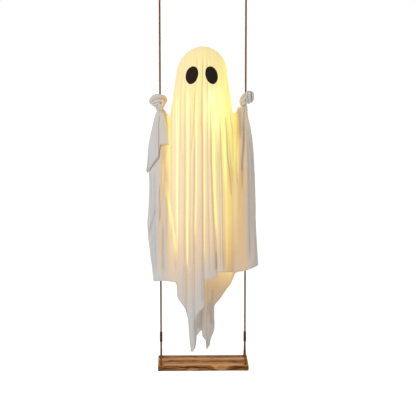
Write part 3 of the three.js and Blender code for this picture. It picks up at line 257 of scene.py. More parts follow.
def smooth(piece: Object, degrees: float = 40.0) -> None:
    """Shades a piece smooth, apart from edges sharper than an angle."""
    pick_only(piece)
    bpy.ops.object.shade_smooth_by_angle(angle=math.radians(degrees))


def settle(piece: Object) -> None:
    """Moves a piece's place, turn and scale into its mesh."""
    pick_only(piece)
    bpy.ops.object.transform_apply(location=True, rotation=True, scale=True)


def thicken(sheet: Object, thickness: float) -> None:
    """Gives a sheet its thickness, inwards, and shades it smooth.

    Args:
        sheet: The sheet.
        thickness: Its thickness, in millimetres.
    """
    modify(sheet, "SOLIDIFY", thickness=thickness * MM, offset=-1)
    apply_modifiers(sheet)
    smooth(sheet, 60)


def points_of(piece: Object) -> tuple[np.ndarray, np.ndarray]:
    """The points of a piece and their normals.

    Args:
        piece: The piece.

    Returns:
        The points, in millimetres, and the normals.
    """
    found = []
    for rows, name in ((piece.data.vertices, "co"), (piece.data.vertex_normals, "vector")):
        flat = np.empty(len(rows) * 3)
        rows.foreach_get(name, flat)
        found.append(flat.reshape(-1, 3))
    return found[0] / MM, found[1]


def move_points(piece: Object, places: np.ndarray) -> None:
    """Moves the points of a piece to places in millimetres."""
    piece.data.vertices.foreach_set("co", (places * MM).ravel())


def give_values(piece: Object, name: str, values: np.ndarray | list) -> None:
    """Stores one number for each point of a piece.

    Args:
        piece: The piece.
        name: The attribute's name.
        values: One number for each point.
    """
    attribute = piece.data.attributes.get(name) or piece.data.attributes.new(name, "FLOAT", "POINT")
    attribute.data.foreach_set("value", np.asarray(values, np.float32))


def finish_piece(piece: Object, material: Material, slot: str, *nodes: str) -> None:
    """Dresses a piece, hangs it on the swing and hides the nodes that it stands for.

    Args:
        piece: The finished piece.
        material: Its material.
        slot: The record's material slot. It is not used.
        *nodes: The CAD nodes that it replaces.
    """
    piece.data.materials.clear()
    piece.data.materials.append(material)
    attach(piece, SWING)
    if nodes:
        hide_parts(*nodes)
    LOG.info("%s: %d faces", piece.name, len(piece.data.polygons))


# Nodes


class Shading:
    """Adds nodes to one node tree, by short calls."""

    def __init__(self, tree: NodeTree) -> None:
        """Keeps the tree.

        Args:
            tree: The node tree that the nodes go into.
        """
        self.tree = tree

    def node(self, kind: str, **values: object) -> Node:
        """Adds a node.

        Args:
            kind: The node type, without its ShaderNode prefix.
            **values: Properties of the node.

        Returns:
            The node.
        """
        made = self.tree.nodes.new(f"ShaderNode{kind}")
        for key, value in values.items():
            setattr(made, key, value)
        return made

    def wire(self, source: Source, target: NodeSocket) -> None:
        """Links a source to a target, or writes a plain value on it.

        Args:
            source: An output socket, or a number, colour or vector.
            target: An input socket.
        """
        if isinstance(source, NodeSocket):
            self.tree.links.new(source, target)
        elif hasattr(source, "__len__") and len(source) == 3 and target.type == "RGBA":
            target.default_value = (*source, 1)
        else:
            target.default_value = source

    def math(self, operation: str, *values: Source) -> NodeSocket:
        """A Math node.

        Args:
            operation: Its operation.
            *values: Up to three values or sockets.

        Returns:
            Its output socket.
        """
        made = self.node("Math", operation=operation)
        for value, target in zip(values, made.inputs):
            self.wire(value, target)
        return made.outputs[0]

    def total(self, *terms: tuple[Source, float]) -> NodeSocket:
        """The sum of sockets, each with a weight.

        Args:
            *terms: Pairs of a socket and its weight.

        Returns:
            The socket of the sum.
        """
        last = 0.0
        for socket, weight in terms:
            last = self.math("MULTIPLY_ADD", socket, weight, last)
        return last

    def blend(self, share: Source, a: Source, b: Source, way: str = "MIX") -> NodeSocket:
        """A colour mix.

        Args:
            share: The share of the second colour.
            a: The first colour.
            b: The second colour.
            way: The blend type.

        Returns:
            Its colour output.
        """
        made = self.node("Mix", data_type="RGBA", blend_type=way)
        self.wire(share, made.inputs[0])
        self.wire(a, made.inputs[6])
        self.wire(b, made.inputs[7])
        return made.outputs[2]

    def spots(
        self, vector: NodeSocket, scale: Source = 1.0, detail: float = 4.0, rough: float = 0.55
    ) -> NodeSocket:
        """A noise value.

        Args:
            vector: The coordinate socket.
            scale: Its scale.
            detail: Its number of octaves.
            rough: Its roughness.

        Returns:
            Its value output.
        """
        made = self.node("TexNoise")
        self.wire(vector, made.inputs["Vector"])
        self.wire(scale, made.inputs["Scale"])
        made.inputs["Detail"].default_value = detail
        made.inputs["Roughness"].default_value = rough
        return made.outputs["Fac"]

    def stretch(
        self, vector: NodeSocket, scale: Place, turn: Place = (0, 0, 0), shift: Place = (0, 0, 0)
    ) -> NodeSocket:
        """A Mapping node.

        Args:
            vector: The coordinate socket.
            scale: Its scale.
            turn: Its rotation, in degrees.
            shift: Its location.

        Returns:
            Its vector output.
        """
        made = self.node("Mapping")
        self.wire(vector, made.inputs["Vector"])
        made.inputs["Scale"].default_value = scale
        made.inputs["Location"].default_value = shift
        made.inputs["Rotation"].default_value = [math.radians(v) for v in turn]
        return made.outputs[0]

    def ranged(
        self, value: Source, low: float, high: float, to_low: float = 0.0, to_high: float = 1.0
    ) -> NodeSocket:
        """A clamped Map Range.

        Args:
            value: The socket.
            low: The value that becomes to_low.
            high: The value that becomes to_high.
            to_low: See low.
            to_high: See high.

        Returns:
            Its output socket.
        """
        made = self.node("MapRange")
        self.wire(value, made.inputs["Value"])
        limits = {"From Min": low, "From Max": high, "To Min": to_low, "To Max": to_high}
        for name, number in limits.items():
            made.inputs[name].default_value = number
        return made.outputs["Result"]

    def ramp(self, value: Source, stops: Table) -> NodeSocket:
        """A grey ramp.

        Args:
            value: The socket that it reads.
            stops: Pairs of a place from 0 to 1 and a grey.

        Returns:
            Its colour output.
        """
        made = self.node("ValToRGB")
        self.wire(value, made.inputs[0])
        elements = made.color_ramp.elements
        while len(elements) < len(stops):
            elements.new(0.5)
        for element, (place, grey) in zip(elements, stops):
            element.position = place
            element.color = (grey, grey, grey, 1)
        return made.outputs["Color"]

    def attribute(self, name: str) -> NodeSocket:
        """A value stored on the piece's points."""
        return self.node("Attribute", attribute_name=name).outputs["Fac"]


class Effect(Shading):
    """A shader node group that is built once and placed in each material that uses it."""

    def __init__(self, name: str, inputs: dict[str, tuple], outputs: dict[str, str]) -> None:
        """Starts a group.

        Args:
            name: The group's name.
            inputs: Input names, each with its kind and the value that it starts with.
            outputs: Output names, each with its kind.
        """
        super().__init__(bpy.data.node_groups.new(name, "ShaderNodeTree"))
        sockets = self.tree.interface
        for key, (kind, value) in inputs.items():
            made = sockets.new_socket(name=key, in_out="INPUT", socket_type=f"NodeSocket{kind}")
            if value is not None:
                made.default_value = (*value, 1) if kind == "Color" else value
        for key, kind in outputs.items():
            sockets.new_socket(name=key, in_out="OUTPUT", socket_type=f"NodeSocket{kind}")
        self.given = self.tree.nodes.new("NodeGroupInput").outputs
        self.result = self.tree.nodes.new("NodeGroupOutput").inputs

    def done(self, **outputs: Source) -> NodeTree:
        """Wires the outputs.

        Args:
            **outputs: Output names and the sockets that feed them.

        Returns:
            The group's tree.
        """
        for name, source in outputs.items():
            self.wire(source, self.result[name])
        return self.tree


class FinishNodes(Shading):
    """A material's nodes: its shader, its coordinates and the effects placed in it."""

    def __init__(self, name: str) -> None:
        """Starts a material.

        Args:
            name: The material's name.
        """
        self.material = bpy.data.materials.new(name)
        self.material.use_nodes = True
        super().__init__(self.material.node_tree)
        self.shader = self.tree.nodes["Principled BSDF"]
        self.place = self.node("TexCoord").outputs["Object"]

    def set(self, **values: Source) -> None:
        """Writes constants or links on the shader's sockets, with underscores for spaces."""
        for name, value in values.items():
            self.wire(value, self.shader.inputs[name.replace("_", " ")])

    def effect(self, group: NodeTree, **values: Source) -> bpy.types.bpy_prop_collection:
        """Places a shared effect.

        Args:
            group: The effect's group.
            **values: Its inputs, with underscores for spaces.

        Returns:
            Its outputs.
        """
        made = self.node("Group", node_tree=group)
        for name, value in values.items():
            self.wire(value, made.inputs[name.replace("_", " ")])
        return made.outputs

    def bump(
        self,
        height: NodeSocket,
        distance: float,
        strength: float = 1.0,
        under: NodeSocket | None = None,
    ) -> NodeSocket:
        """A Bump node that feeds the shader's normal.

        Args:
            height: The height socket.
            distance: The height of a full step, in millimetres.
            strength: Its strength.
            under: Another bump's output that it adds to.

        Returns:
            Its output socket.
        """
        made = self.node("Bump")
        made.inputs["Strength"].default_value = strength
        made.inputs["Distance"].default_value = distance * MM
        self.wire(height, made.inputs["Height"])
        if under is not None:
            self.wire(under, made.inputs["Normal"])
        self.wire(made.outputs[0], self.shader.inputs["Normal"])
        return made.outputs[0]


# Camera and studio


@dataclass
class PhotoView:
    """The camera at the photograph's place: a long lens that looks slightly down."""

    lens: float = 134.3
    sensor: float = 36.0
    place: Place = (-0.0907, -5.14175, -0.01221)
    down_degrees: float = 8.5
    turn_degrees: float = 1.2
    far_end: float = 60.0

    def make(self) -> None:
        """Makes the camera and sets it as the scene's."""
        camera = bpy.data.cameras.new("photo_view")
        camera.lens = self.lens
        camera.sensor_width = self.sensor
        camera.clip_end = self.far_end
        holder = put_in_scene("photo_view", camera)
        down, turn = math.radians(self.down_degrees), math.radians(self.turn_degrees)
        flat = math.cos(down)
        look = Vector((math.sin(turn) * flat, math.cos(turn) * flat, -math.sin(down)))
        holder.location = self.place
        holder.rotation_euler = look.to_track_quat("-Z", "Y").to_euler()
        bpy.context.scene.camera = holder


@dataclass
class Studio:
    """A pale floor, a white surround and soft lights."""

    floor_drop: float = 1700.0
    floor_size: float = 40.0
    floor_white: float = 0.93
    floor_roughness: float = 0.9
    floor_lift: float = 0.52
    world_strength: float = 0.54
    light_target: Place = (0.0, 0.0, -0.75)
    lights: tuple[tuple[str, Place, float, float], ...] = (
        ("key_light", (-2.8, -3.2, 1.4), 2.0, 90.0),
        ("fill_light", (3.4, -2.2, 0.4), 2.6, 9.0),
    )

    def choose(
        self, nodes: Shading, plain: NodeSocket, seen: NodeSocket, target: NodeSocket
    ) -> None:
        """Shows one shader to the rays that see the background, and another to the rest.

        Args:
            nodes: The nodes that it joins.
            plain: The output socket for other rays.
            seen: The output socket for the rays that see the background.
            target: The input socket of the output node.
        """
        path = nodes.node("LightPath").outputs
        share = path["Is Camera Ray"]
        for name in ("Is Glossy Ray", "Is Transmission Ray"):
            share = nodes.math("MAXIMUM", share, path[name])
        choice = nodes.node("MixShader")
        for source, socket in zip((share, plain, seen), choice.inputs):
            nodes.wire(source, socket)
        nodes.wire(choice.outputs[0], target)

    def floor_material(self) -> Material:
        """The floor's finish: a matt white that a shadow still shows on.

        Returns:
            The material.
        """
        mat = FinishNodes("studio_floor")
        mat.set(Base_Color=(self.floor_white,) * 3, Roughness=self.floor_roughness)
        own, lift, both = mat.shader.outputs[0], mat.node("Emission"), mat.node("AddShader")
        mat.wire(self.floor_lift, lift.inputs["Strength"])
        mat.wire(own, both.inputs[0])
        mat.wire(lift.outputs[0], both.inputs[1])
        target = mat.tree.nodes["Material Output"].inputs["Surface"]
        self.choose(mat, own, both.outputs[0], target)
        return mat.material

    def make_floor(self) -> None:
        """The floor, which is wide enough to fill every view."""
        bpy.ops.object.select_all(action="DESELECT")
        bpy.ops.mesh.primitive_plane_add(
            size=self.floor_size, location=(0, 0, -self.floor_drop * MM)
        )
        floor = bpy.context.object
        floor.name = "studio_floor"
        settle(floor)
        floor.data.materials.append(self.floor_material())

    def make_world(self) -> None:
        """A soft white surround that the camera sees as white."""
        world = bpy.data.worlds.new("studio")
        bpy.context.scene.world = world
        world.use_nodes = True
        nodes = Shading(world.node_tree)
        soft, bright = nodes.tree.nodes["Background"], nodes.node("Background")
        for shader, strength in ((soft, self.world_strength), (bright, 1.0)):
            nodes.wire((1, 1, 1), shader.inputs["Color"])
            nodes.wire(strength, shader.inputs["Strength"])
        target = nodes.tree.nodes["World Output"].inputs["Surface"]
        self.choose(nodes, soft.outputs[0], bright.outputs[0], target)

    def make_light(self, name: str, place: Place, size: float, power: float) -> None:
        """An area light that looks at the middle of the part.

        Args:
            name: The light's name.
            place: Where it stands, in metres.
            size: Its width, in metres.
            power: Its power, in watts.
        """
        light = bpy.data.lights.new(name, "AREA")
        light.size = size
        light.energy = power
        holder = put_in_scene(name, light)
        holder.location = place
        aim = Vector(self.light_target) - Vector(place)
        holder.rotation_euler = aim.to_track_quat("-Z", "Y").to_euler()

    def make(self) -> None:
        """Makes the floor, the surround and the lights."""
        self.make_floor()
        self.make_world()
        for light in self.lights:
            self.make_light(*light)


# Shader effects that several materials share


def weave_effect() -> NodeTree:
    """Plain weave: crossing threads with slubs, over a vector in metres.

    Returns:
        The group, with a height and a tone.
    """
    fx = Effect(
        "woven_threads",
        {"Vector": ("Vector", None), "Threads": ("Float", 1100.0)},
        {"Height": "Float", "Tone": "Float"},
    )
    vector, threads = fx.given["Vector"], fx.given["Threads"]
    part = fx.node("SeparateXYZ")
    fx.wire(vector, part.inputs[0])
    turns = fx.math("MULTIPLY", threads, math.tau)
    across = fx.math("ADD", part.outputs[0], fx.math("MULTIPLY", part.outputs[1], 0.8))
    warp = fx.math("SINE", fx.math("MULTIPLY", across, turns))
    weft = fx.math("SINE", fx.math("MULTIPLY", part.outputs[2], turns))
    thread = fx.math("MULTIPLY_ADD", fx.math("MULTIPLY", warp, weft), 0.5, 0.5)
    down_slub = fx.spots(fx.stretch(vector, (800, 800, 20)), 1.0, 2.0)
    side_slub = fx.spots(fx.stretch(vector, (20, 20, 800)), 1.0, 2.0)
    slub = fx.total((down_slub, 0.5), (side_slub, 0.5))
    return fx.done(Height=fx.total((thread, 0.5), (slub, 0.8)), Tone=slub)


def crumple_effect() -> NodeTree:
    """Small soft creases of thin cloth, longer down than across.

    Returns:
        The group, with a height.
    """
    fx = Effect("soft_crumple", {"Vector": ("Vector", None)}, {"Height": "Float"})
    vector = fx.given["Vector"]
    long_creases = fx.spots(fx.stretch(vector, (85, 85, 6)), 1.0, 3.0, 0.5)
    small = fx.spots(fx.stretch(vector, (110, 110, 45)), 1.0, 4.0, 0.5)
    return fx.done(Height=fx.total((long_creases, 0.8), (small, 0.3)))


def lamp_light_effect() -> NodeTree:
    """Lamp light that comes through the cloth, painted in as emission, and what it does to the cloth's
    colour, with painted shade in its creases.

    Returns:
        The group, with the cloth's colour, painted lit and shaded, and the light that it gives off.
    """
    fx = Effect(
        "light_through_cloth",
        {
            "Glow": ("Float", 0.0),
            "Amber": ("Float", 0.0),
            "Yellow": ("Float", 0.0),
            "Crease": ("Float", 0.0),
            "Cloth": ("Color", (0.60, 0.585, 0.565)),
            "Warm Cloth": ("Color", (0.58, 0.48, 0.36)),
            "Amber Cloth": ("Color", (0.56, 0.41, 0.24)),
            "Dim Light": ("Color", (0.90, 0.50, 0.26)),
            "Bright Light": ("Color", (0.88, 0.90, 0.33)),
            "Amber Filter": ("Color", (1.0, 0.92, 0.42)),
            "Yellow Cloth": ("Color", (0.56, 0.50, 0.24)),
            "Yellow Light": ("Color", (0.98, 0.84, 0.10)),
        },
        {"Colour": "Color", "Light": "Color"},
    )
    glow, amber, crease = fx.given["Glow"], fx.given["Amber"], fx.given["Crease"]
    # Painted light: the cloth's base colour turns to a lamp-lit tint where it glows. Painted shade: the
    # crease value darkens that colour and the light.
    warm = fx.blend(amber, fx.given["Warm Cloth"], fx.given["Amber Cloth"])
    warm = fx.blend(fx.given["Yellow"], warm, fx.given["Yellow Cloth"])
    own = fx.blend(fx.ranged(glow, 0.0, 0.3), fx.given["Cloth"], warm)
    own = fx.blend(1.0, own, fx.ranged(crease, 0.0, 1.0, 1.0, 0.45), "MULTIPLY")
    tint = fx.blend(fx.ranged(glow, 0.18, 0.85), fx.given["Dim Light"], fx.given["Bright Light"])
    tint = fx.blend(amber, tint, fx.blend(1.0, tint, fx.given["Amber Filter"], "MULTIPLY"))
    tint = fx.blend(fx.given["Yellow"], tint, fx.given["Yellow Light"])
    power = fx.math("MULTIPLY", glow, fx.ranged(crease, 0.0, 1.0, 1.0, 0.35))
    return fx.done(Colour=own, Light=fx.blend(1.0, tint, power, "MULTIPLY"))


def fibre_effect() -> NodeTree:
    """Fibres that run along a cord's own length, with dirt between them.

    Returns:
        The group, with a height and a tone.
    """
    fx = Effect("cord_fibres", {"Vector": ("Vector", None)}, {"Height": "Float", "Tone": "Float"})
    vector = fx.given["Vector"]
    fine = fx.spots(fx.stretch(vector, (2600, 2600, 160), (0, 28, 0)), 1.0, 3.0, 0.6)
    coarse = fx.spots(vector, 120.0, 3.0)
    return fx.done(
        Height=fx.total((fine, 0.8), (coarse, 0.2)), Tone=fx.total((fine, 0.55), (coarse, 0.45))
    )


# Light and dark bands across the plank, from its front face to its back edge
PLANK_BANDS = (
    (0.0, 0.20), (0.02, 0.18), (0.035, 0.24), (0.05, 0.36), (0.07, 0.34), (0.082, 0.22),
    (0.10, 0.28), (0.14, 0.36), (0.175, 0.74), (0.21, 0.86), (0.26, 0.94), (0.29, 0.80),
    (0.32, 0.42), (0.36, 0.52), (0.40, 0.56), (0.44, 0.44), (0.465, 0.10), (0.49, 0.38),
    (0.52, 0.50), (0.56, 0.46), (0.60, 0.62), (0.65, 0.82), (0.71, 0.84), (0.75, 0.62),
    (0.79, 0.36), (0.83, 0.46), (0.88, 0.36), (0.93, 0.30),
)
# Knots of the plank, in metres: place across, in depth, half length, push on the grain round it
PLANK_KNOTS = (
    (0.058, -0.082, 0.019, 0.020), (0.031, 0.028, 0.010, -0.010), (-0.088, 0.048, 0.014, 0.008),
    (0.118, -0.030, 0.015, 0.010),
)
# Where the bands start and end, from the plank's front face over its top to its back
PLANK_FRONT, PLANK_BACK = -0.089, 0.091
KNOT_SQUASH = 0.72
KNOT_SLANT = 0.6


def burnt_grain_effect() -> NodeTree:
    """Sawn softwood that was scorched and brushed: bands, growth rings, knots and char.

    Returns:
        The group, with a band value, a ring value, a heart mask and a height.
    """
    fx = Effect(
        "burnt_grain",
        {"Vector": ("Vector", None), "Lines": ("Float", 240.0)},
        {"Band": "Float", "Line": "Float", "Heart": "Float", "Height": "Float"},
    )
    vector = fx.given["Vector"]
    slow = fx.spots(fx.stretch(vector, (5.0, 16, 16)), 1.0, 2.0)
    part = fx.node("SeparateXYZ")
    fx.wire(vector, part.inputs[0])
    down = fx.math("ADD", part.outputs[2], SEAT_TOP * MM)
    pushes, hearts = [], 0.0
    for x, y, size, push in PLANK_KNOTS:
        away_x = fx.math("DIVIDE", fx.math("SUBTRACT", part.outputs[0], x), size)
        line = fx.math("MULTIPLY_ADD", down, KNOT_SLANT, part.outputs[1])
        away_y = fx.math("DIVIDE", fx.math("SUBTRACT", line, y), size * KNOT_SQUASH)
        apart = fx.total(*((fx.math("MULTIPLY", away, away), 1.0) for away in (away_x, away_y)))
        pushes.append((fx.math("EXPONENT", fx.math("MULTIPLY", apart, -0.55)), push))
        hearts = fx.math("MAXIMUM", hearts, fx.ranged(apart, 0.35, 0.7, 1.0, 0.0))
    place = fx.total((part.outputs[1], 1.0), (down, 1.0), (slow, 0.022), *pushes)
    band = fx.ramp(fx.ranged(place, PLANK_FRONT, PLANK_BACK), PLANK_BANDS)
    fine = fx.math("FRACT", fx.math("MULTIPLY", place, fx.given["Lines"]))
    thin = fx.spots(fx.stretch(vector, (22, 330, 330)), 1.0, 4.0, 0.62)
    short = fx.spots(fx.stretch(vector, (30, 75, 150), shift=(3.1, 0.4, 0)), 1.0, 3.0)
    long = fx.spots(fx.stretch(vector, (6.5, 95, 190), shift=(0.7, 2.3, 0)), 1.0, 3.0, 0.6)
    streak, patch = fx.ranged(thin, 0.30, 0.70), fx.ranged(short, 0.33, 0.67)
    broad = fx.ranged(long, 0.36, 0.64)
    line = fx.total((fx.math("POWER", fine, 1.6), 0.35), (streak, 0.6), (patch, 0.46), (broad, 0.42))
    height = fx.total((fine, 0.4), (streak, 0.9))
    return fx.done(Band=band, Line=line, Heart=hearts, Height=height)


def worn_surface_effect() -> NodeTree:
    """Fine texture, smudges and small marks of a made surface.

    Returns:
        The group, with a tone, a smudge mask and a height.
    """
    fx = Effect(
        "worn_surface",
        {"Vector": ("Vector", None), "Grain": ("Float", 900.0)},
        {"Tone": "Float", "Smudge": "Float", "Height": "Float"},
    )
    vector = fx.given["Vector"]
    grain = fx.spots(vector, fx.given["Grain"], 2.0)
    smudge = fx.spots(vector, 22.0, 4.0, 0.6)
    marks = fx.spots(fx.stretch(vector, (60, 900, 300), (20, 10, 35)), 1.0, 2.0)
    return fx.done(
        Tone=fx.total((smudge, 0.7), (marks, 0.3)),
        Smudge=smudge,
        Height=fx.total((grain, 0.7), (marks, 0.3)),
    )


@dataclass
class EffectSet:
    """The shader effects, each built once."""

    weave: NodeTree = field(default_factory=weave_effect)
    crumple: NodeTree = field(default_factory=crumple_effect)
    lamp_light: NodeTree = field(default_factory=lamp_light_effect)
    fibres: NodeTree = field(default_factory=fibre_effect)
    burnt_grain: NodeTree = field(default_factory=burnt_grain_effect)
    worn: NodeTree = field(default_factory=worn_surface_effect)


# Finishes


@dataclass(frozen=True)
class ClothFinish:
    """Thin off-white cloth, with the lamp's light that comes through it painted in as emission, and
    painted shade in its creases.
    """

    name: str = "gown_cloth"
    roughness: float = 0.88
    sheen: float = 0.12
    weave_height: float = 0.12
    crumple_height: float = 1.1

    def make(self, effects: EffectSet) -> Material:
        """Makes the material. It reads the painted light (glow, amber, yellow), the painted shade
        (crease) and the hem from the piece's points.

        Args:
            effects: The shader effects.

        Returns:
            The material.
        """
        mat = FinishNodes(self.name)
        weave = mat.effect(effects.weave, Vector=mat.place)
        crumple = mat.effect(effects.crumple, Vector=mat.place)
        # Painted shade: the crease value, and a little more along the hem
        crease = mat.total((mat.attribute("crease"), 1.0), (mat.attribute("hem"), 0.22))
        light = mat.effect(
            effects.lamp_light,
            Glow=mat.attribute("glow"),
            Amber=mat.attribute("amber"),
            Yellow=mat.attribute("yellow"),
            Crease=crease,
        )
        tone = mat.ranged(weave["Tone"], 0.3, 0.7, 0.95, 1.04)
        mat.set(
            Base_Color=mat.blend(1.0, light["Colour"], tone, "MULTIPLY"),
            Emission_Color=mat.blend(1.0, light["Light"], tone, "MULTIPLY"),
            Emission_Strength=1.0,
            Roughness=self.roughness,
            Sheen_Weight=self.sheen,
            Specular_IOR_Level=0.15,
        )
        first = mat.bump(crumple["Height"], self.crumple_height, 0.7)
        stitched = mat.total((weave["Height"], 1.0), (mat.attribute("hem"), 3.0))
        mat.bump(stitched, self.weave_height, 0.8, first)
        return mat.material


@dataclass(frozen=True)
class FeltFinish:
    """Dark felt with short fuzz."""

    name: str = "eye_felt"
    dark: Colour = (0.0125, 0.0080, 0.0065)
    light: Colour = (0.030, 0.020, 0.016)

    def make(self, effects: EffectSet) -> Material:
        """Makes the material.

        Args:
            effects: The shader effects.

        Returns:
            The material.
        """
        mat = FinishNodes(self.name)
        fuzz = mat.spots(mat.place, 2200.0, 3.0, 0.7)
        clumps = mat.spots(mat.place, 260.0, 4.0, 0.6)
        tone = mat.total((fuzz, 0.6), (clumps, 0.5))
        mat.set(
            Base_Color=mat.blend(mat.ranged(tone, 0.35, 0.75), self.dark, self.light),
            Roughness=0.95,
            Sheen_Weight=0.06,
            Specular_IOR_Level=0.05,
        )
        mat.bump(tone, 0.35)
        return mat.material


@dataclass(frozen=True)
class CordFinish:
    """Twisted fibre cord."""

    name: str
    dark: Colour
    light: Colour
    height: float = 0.25

    def make(self, effects: EffectSet) -> Material:
        """Makes the material. It paints shade into the grooves that the piece's points name.

        Args:
            effects: The shader effects.

        Returns:
            The material.
        """
        mat = FinishNodes(self.name)
        fibres = mat.effect(effects.fibres, Vector=mat.place)
        groove = mat.ranged(mat.attribute("groove"), 0.0, 1.0, 1.0, 0.45)
        colour = mat.blend(mat.ranged(fibres["Tone"], 0.35, 0.65), self.dark, self.light)
        mat.set(
            Base_Color=mat.blend(1.0, colour, groove, "MULTIPLY"),
            Roughness=mat.ranged(fibres["Tone"], 0.3, 0.7, 0.95, 0.75),
            Specular_IOR_Level=0.04,
        )
        mat.bump(fibres["Height"], self.height)
        return mat.material


@dataclass(frozen=True)
class BurntWoodFinish:
    """Scorched and brushed pine with a thin satin oil."""

    name: str = "seat_wood"
    char: Colour = (0.045, 0.020, 0.006)
    brown: Colour = (0.27, 0.112, 0.032)
    gold: Colour = (0.68, 0.34, 0.13)
    heart: Colour = (0.30, 0.13, 0.040)

    def make(self, effects: EffectSet) -> Material:
        """Makes the material. Worn edges, which the piece's points name, are lighter.

        Args:
            effects: The shader effects.

        Returns:
            The material.
        """
        mat = FinishNodes(self.name)
        grain = mat.effect(effects.burnt_grain, Vector=mat.place)
        worn = mat.attribute("worn")
        tone = mat.total((grain["Band"], 1.3), (grain["Line"], -0.95), (worn, 0.2))
        tone = mat.math("ADD", tone, 0.72)
        colour = mat.blend(mat.ranged(tone, 0.05, 0.42), self.char, self.brown)
        colour = mat.blend(mat.ranged(tone, 0.38, 0.95), colour, self.gold)
        colour = mat.blend(mat.math("MULTIPLY", grain["Heart"], 0.5), colour, self.heart)
        mat.set(
            Base_Color=colour,
            Roughness=mat.ranged(tone, 0.1, 0.9, 0.75, 0.55),
            Specular_IOR_Level=0.05,
        )
        mat.bump(grain["Height"], 0.7, 0.8)
        return mat.material


@dataclass(frozen=True)
class MadeFinish:
    """Metal, paint, plastic or rubber with smudges and fine texture."""

    name: str
    dark: Colour
    light: Colour
    roughness: tuple[float, float] = (0.4, 0.55)
    metallic: float = 0.0
    grain: float = 900.0
    height: float = 0.03
    glow: float = 0.0

    def make(self, effects: EffectSet) -> Material:
        """Makes the material.

        Args:
            effects: The shader effects.

        Returns:
            The material.
        """
        mat = FinishNodes(self.name)
        worn = mat.effect(effects.worn, Vector=mat.place, Grain=self.grain)
        colour = mat.blend(mat.ranged(worn["Tone"], 0.35, 0.65), self.dark, self.light)
        mat.set(
            Base_Color=colour,
            Roughness=mat.ranged(worn["Smudge"], 0.3, 0.7, *self.roughness),
            Metallic=self.metallic,
        )
        # Emission: lamp_glass is the lamp itself; on the head form it is painted light.
        if self.glow:
            mat.set(Emission_Color=colour, Emission_Strength=self.glow)
        mat.bump(worn["Height"], self.height)
        return mat.material


# Ropes and bindings


def curve_through(points: np.ndarray | list, step: float) -> np.ndarray:
    """A smooth line through points, in even steps.

    Args:
        points: The points, in millimetres.
        step: The distance between the results.

    Returns:
        An array of points.
    """
    given = np.asarray(points, float)
    knots = np.vstack([2 * given[0] - given[1], given, 2 * given[-1] - given[-2]])
    dense = []
    for i in range(len(knots) - 3):
        p0, p1, p2, p3 = knots[i : i + 4]
        t1 = math.sqrt(np.linalg.norm(p1 - p0))
        t2 = t1 + math.sqrt(np.linalg.norm(p2 - p1))
        t3 = t2 + math.sqrt(np.linalg.norm(p3 - p2))
        t = np.linspace(t1, t2, 14)[:-1, None]
        a1 = p0 * (t1 - t) / t1 + p1 * t / t1
        a2 = p1 * (t2 - t) / (t2 - t1) + p2 * (t - t1) / (t2 - t1)
        a3 = p2 * (t3 - t) / (t3 - t2) + p3 * (t - t2) / (t3 - t2)
        b1 = a1 * (t2 - t) / t2 + a2 * t / t2
        b2 = a2 * (t3 - t) / (t3 - t1) + a3 * (t - t1) / (t3 - t1)
        dense.append(b1 * (t2 - t) / (t2 - t1) + b2 * (t - t1) / (t2 - t1))
    line = np.vstack([*dense, given[-1:]])
    run = np.concatenate([[0], np.cumsum(np.linalg.norm(np.diff(line, axis=0), axis=1))])
    marks = np.linspace(0, run[-1], max(2, int(round(run[-1] / step)) + 1))
    return np.stack([np.interp(marks, run, line[:, k]) for k in range(3)], axis=1)


def line_length(line: np.ndarray) -> float:
    """The length of a line of points, in millimetres."""
    return float(np.linalg.norm(np.diff(line, axis=0), axis=1).sum())


def carried_frames(line: np.ndarray) -> tuple[np.ndarray, np.ndarray]:
    """Two directions across a line at each of its points, carried along without a twist.

    Args:
        line: The points.

    Returns:
        The first and the second direction at each point.
    """
    along = np.gradient(line, axis=0)
    along /= np.linalg.norm(along, axis=1)[:, None]
    start = np.cross(along[0], (0.3, 0.5, 0.8))
    first = [start / np.linalg.norm(start)]
    for i in range(1, len(line)):
        flat = first[-1] - along[i] * np.dot(first[-1], along[i])
        first.append(flat / np.linalg.norm(flat))
    first = np.array(first)
    return first, np.cross(along, first)


def swept_piece(name: str, line: np.ndarray, sections: np.ndarray) -> Object:
    """A closed body with a cross-section at each point of a line.

    Args:
        name: The piece's name.
        line: The points, in millimetres.
        sections: For each point, its cross-section's points in two numbers each.

    Returns:
        The piece.
    """
    first, second = carried_frames(line)
    places = line[:, None] + sections[..., :1] * first[:, None] + sections[..., 1:] * second[:, None]
    rings, sides = sections.shape[:2]
    faces = []
    for i in range(rings - 1):
        for j in range(sides):
            k = (j + 1) % sides
            faces.append((i * sides + j, i * sides + k, (i + 1) * sides + k, (i + 1) * sides + j))
    ends = rings * sides
    for j in range(sides):
        k = (j + 1) % sides
        faces.append((ends, k, j))
        faces.append((ends + 1, (rings - 1) * sides + j, (rings - 1) * sides + k))
    places = np.vstack([places.reshape(-1, 3), line[:1], line[-1:]])
    piece = mesh_piece(name, places, faces)
    for face in piece.data.polygons:
        face.use_smooth = True
    return piece


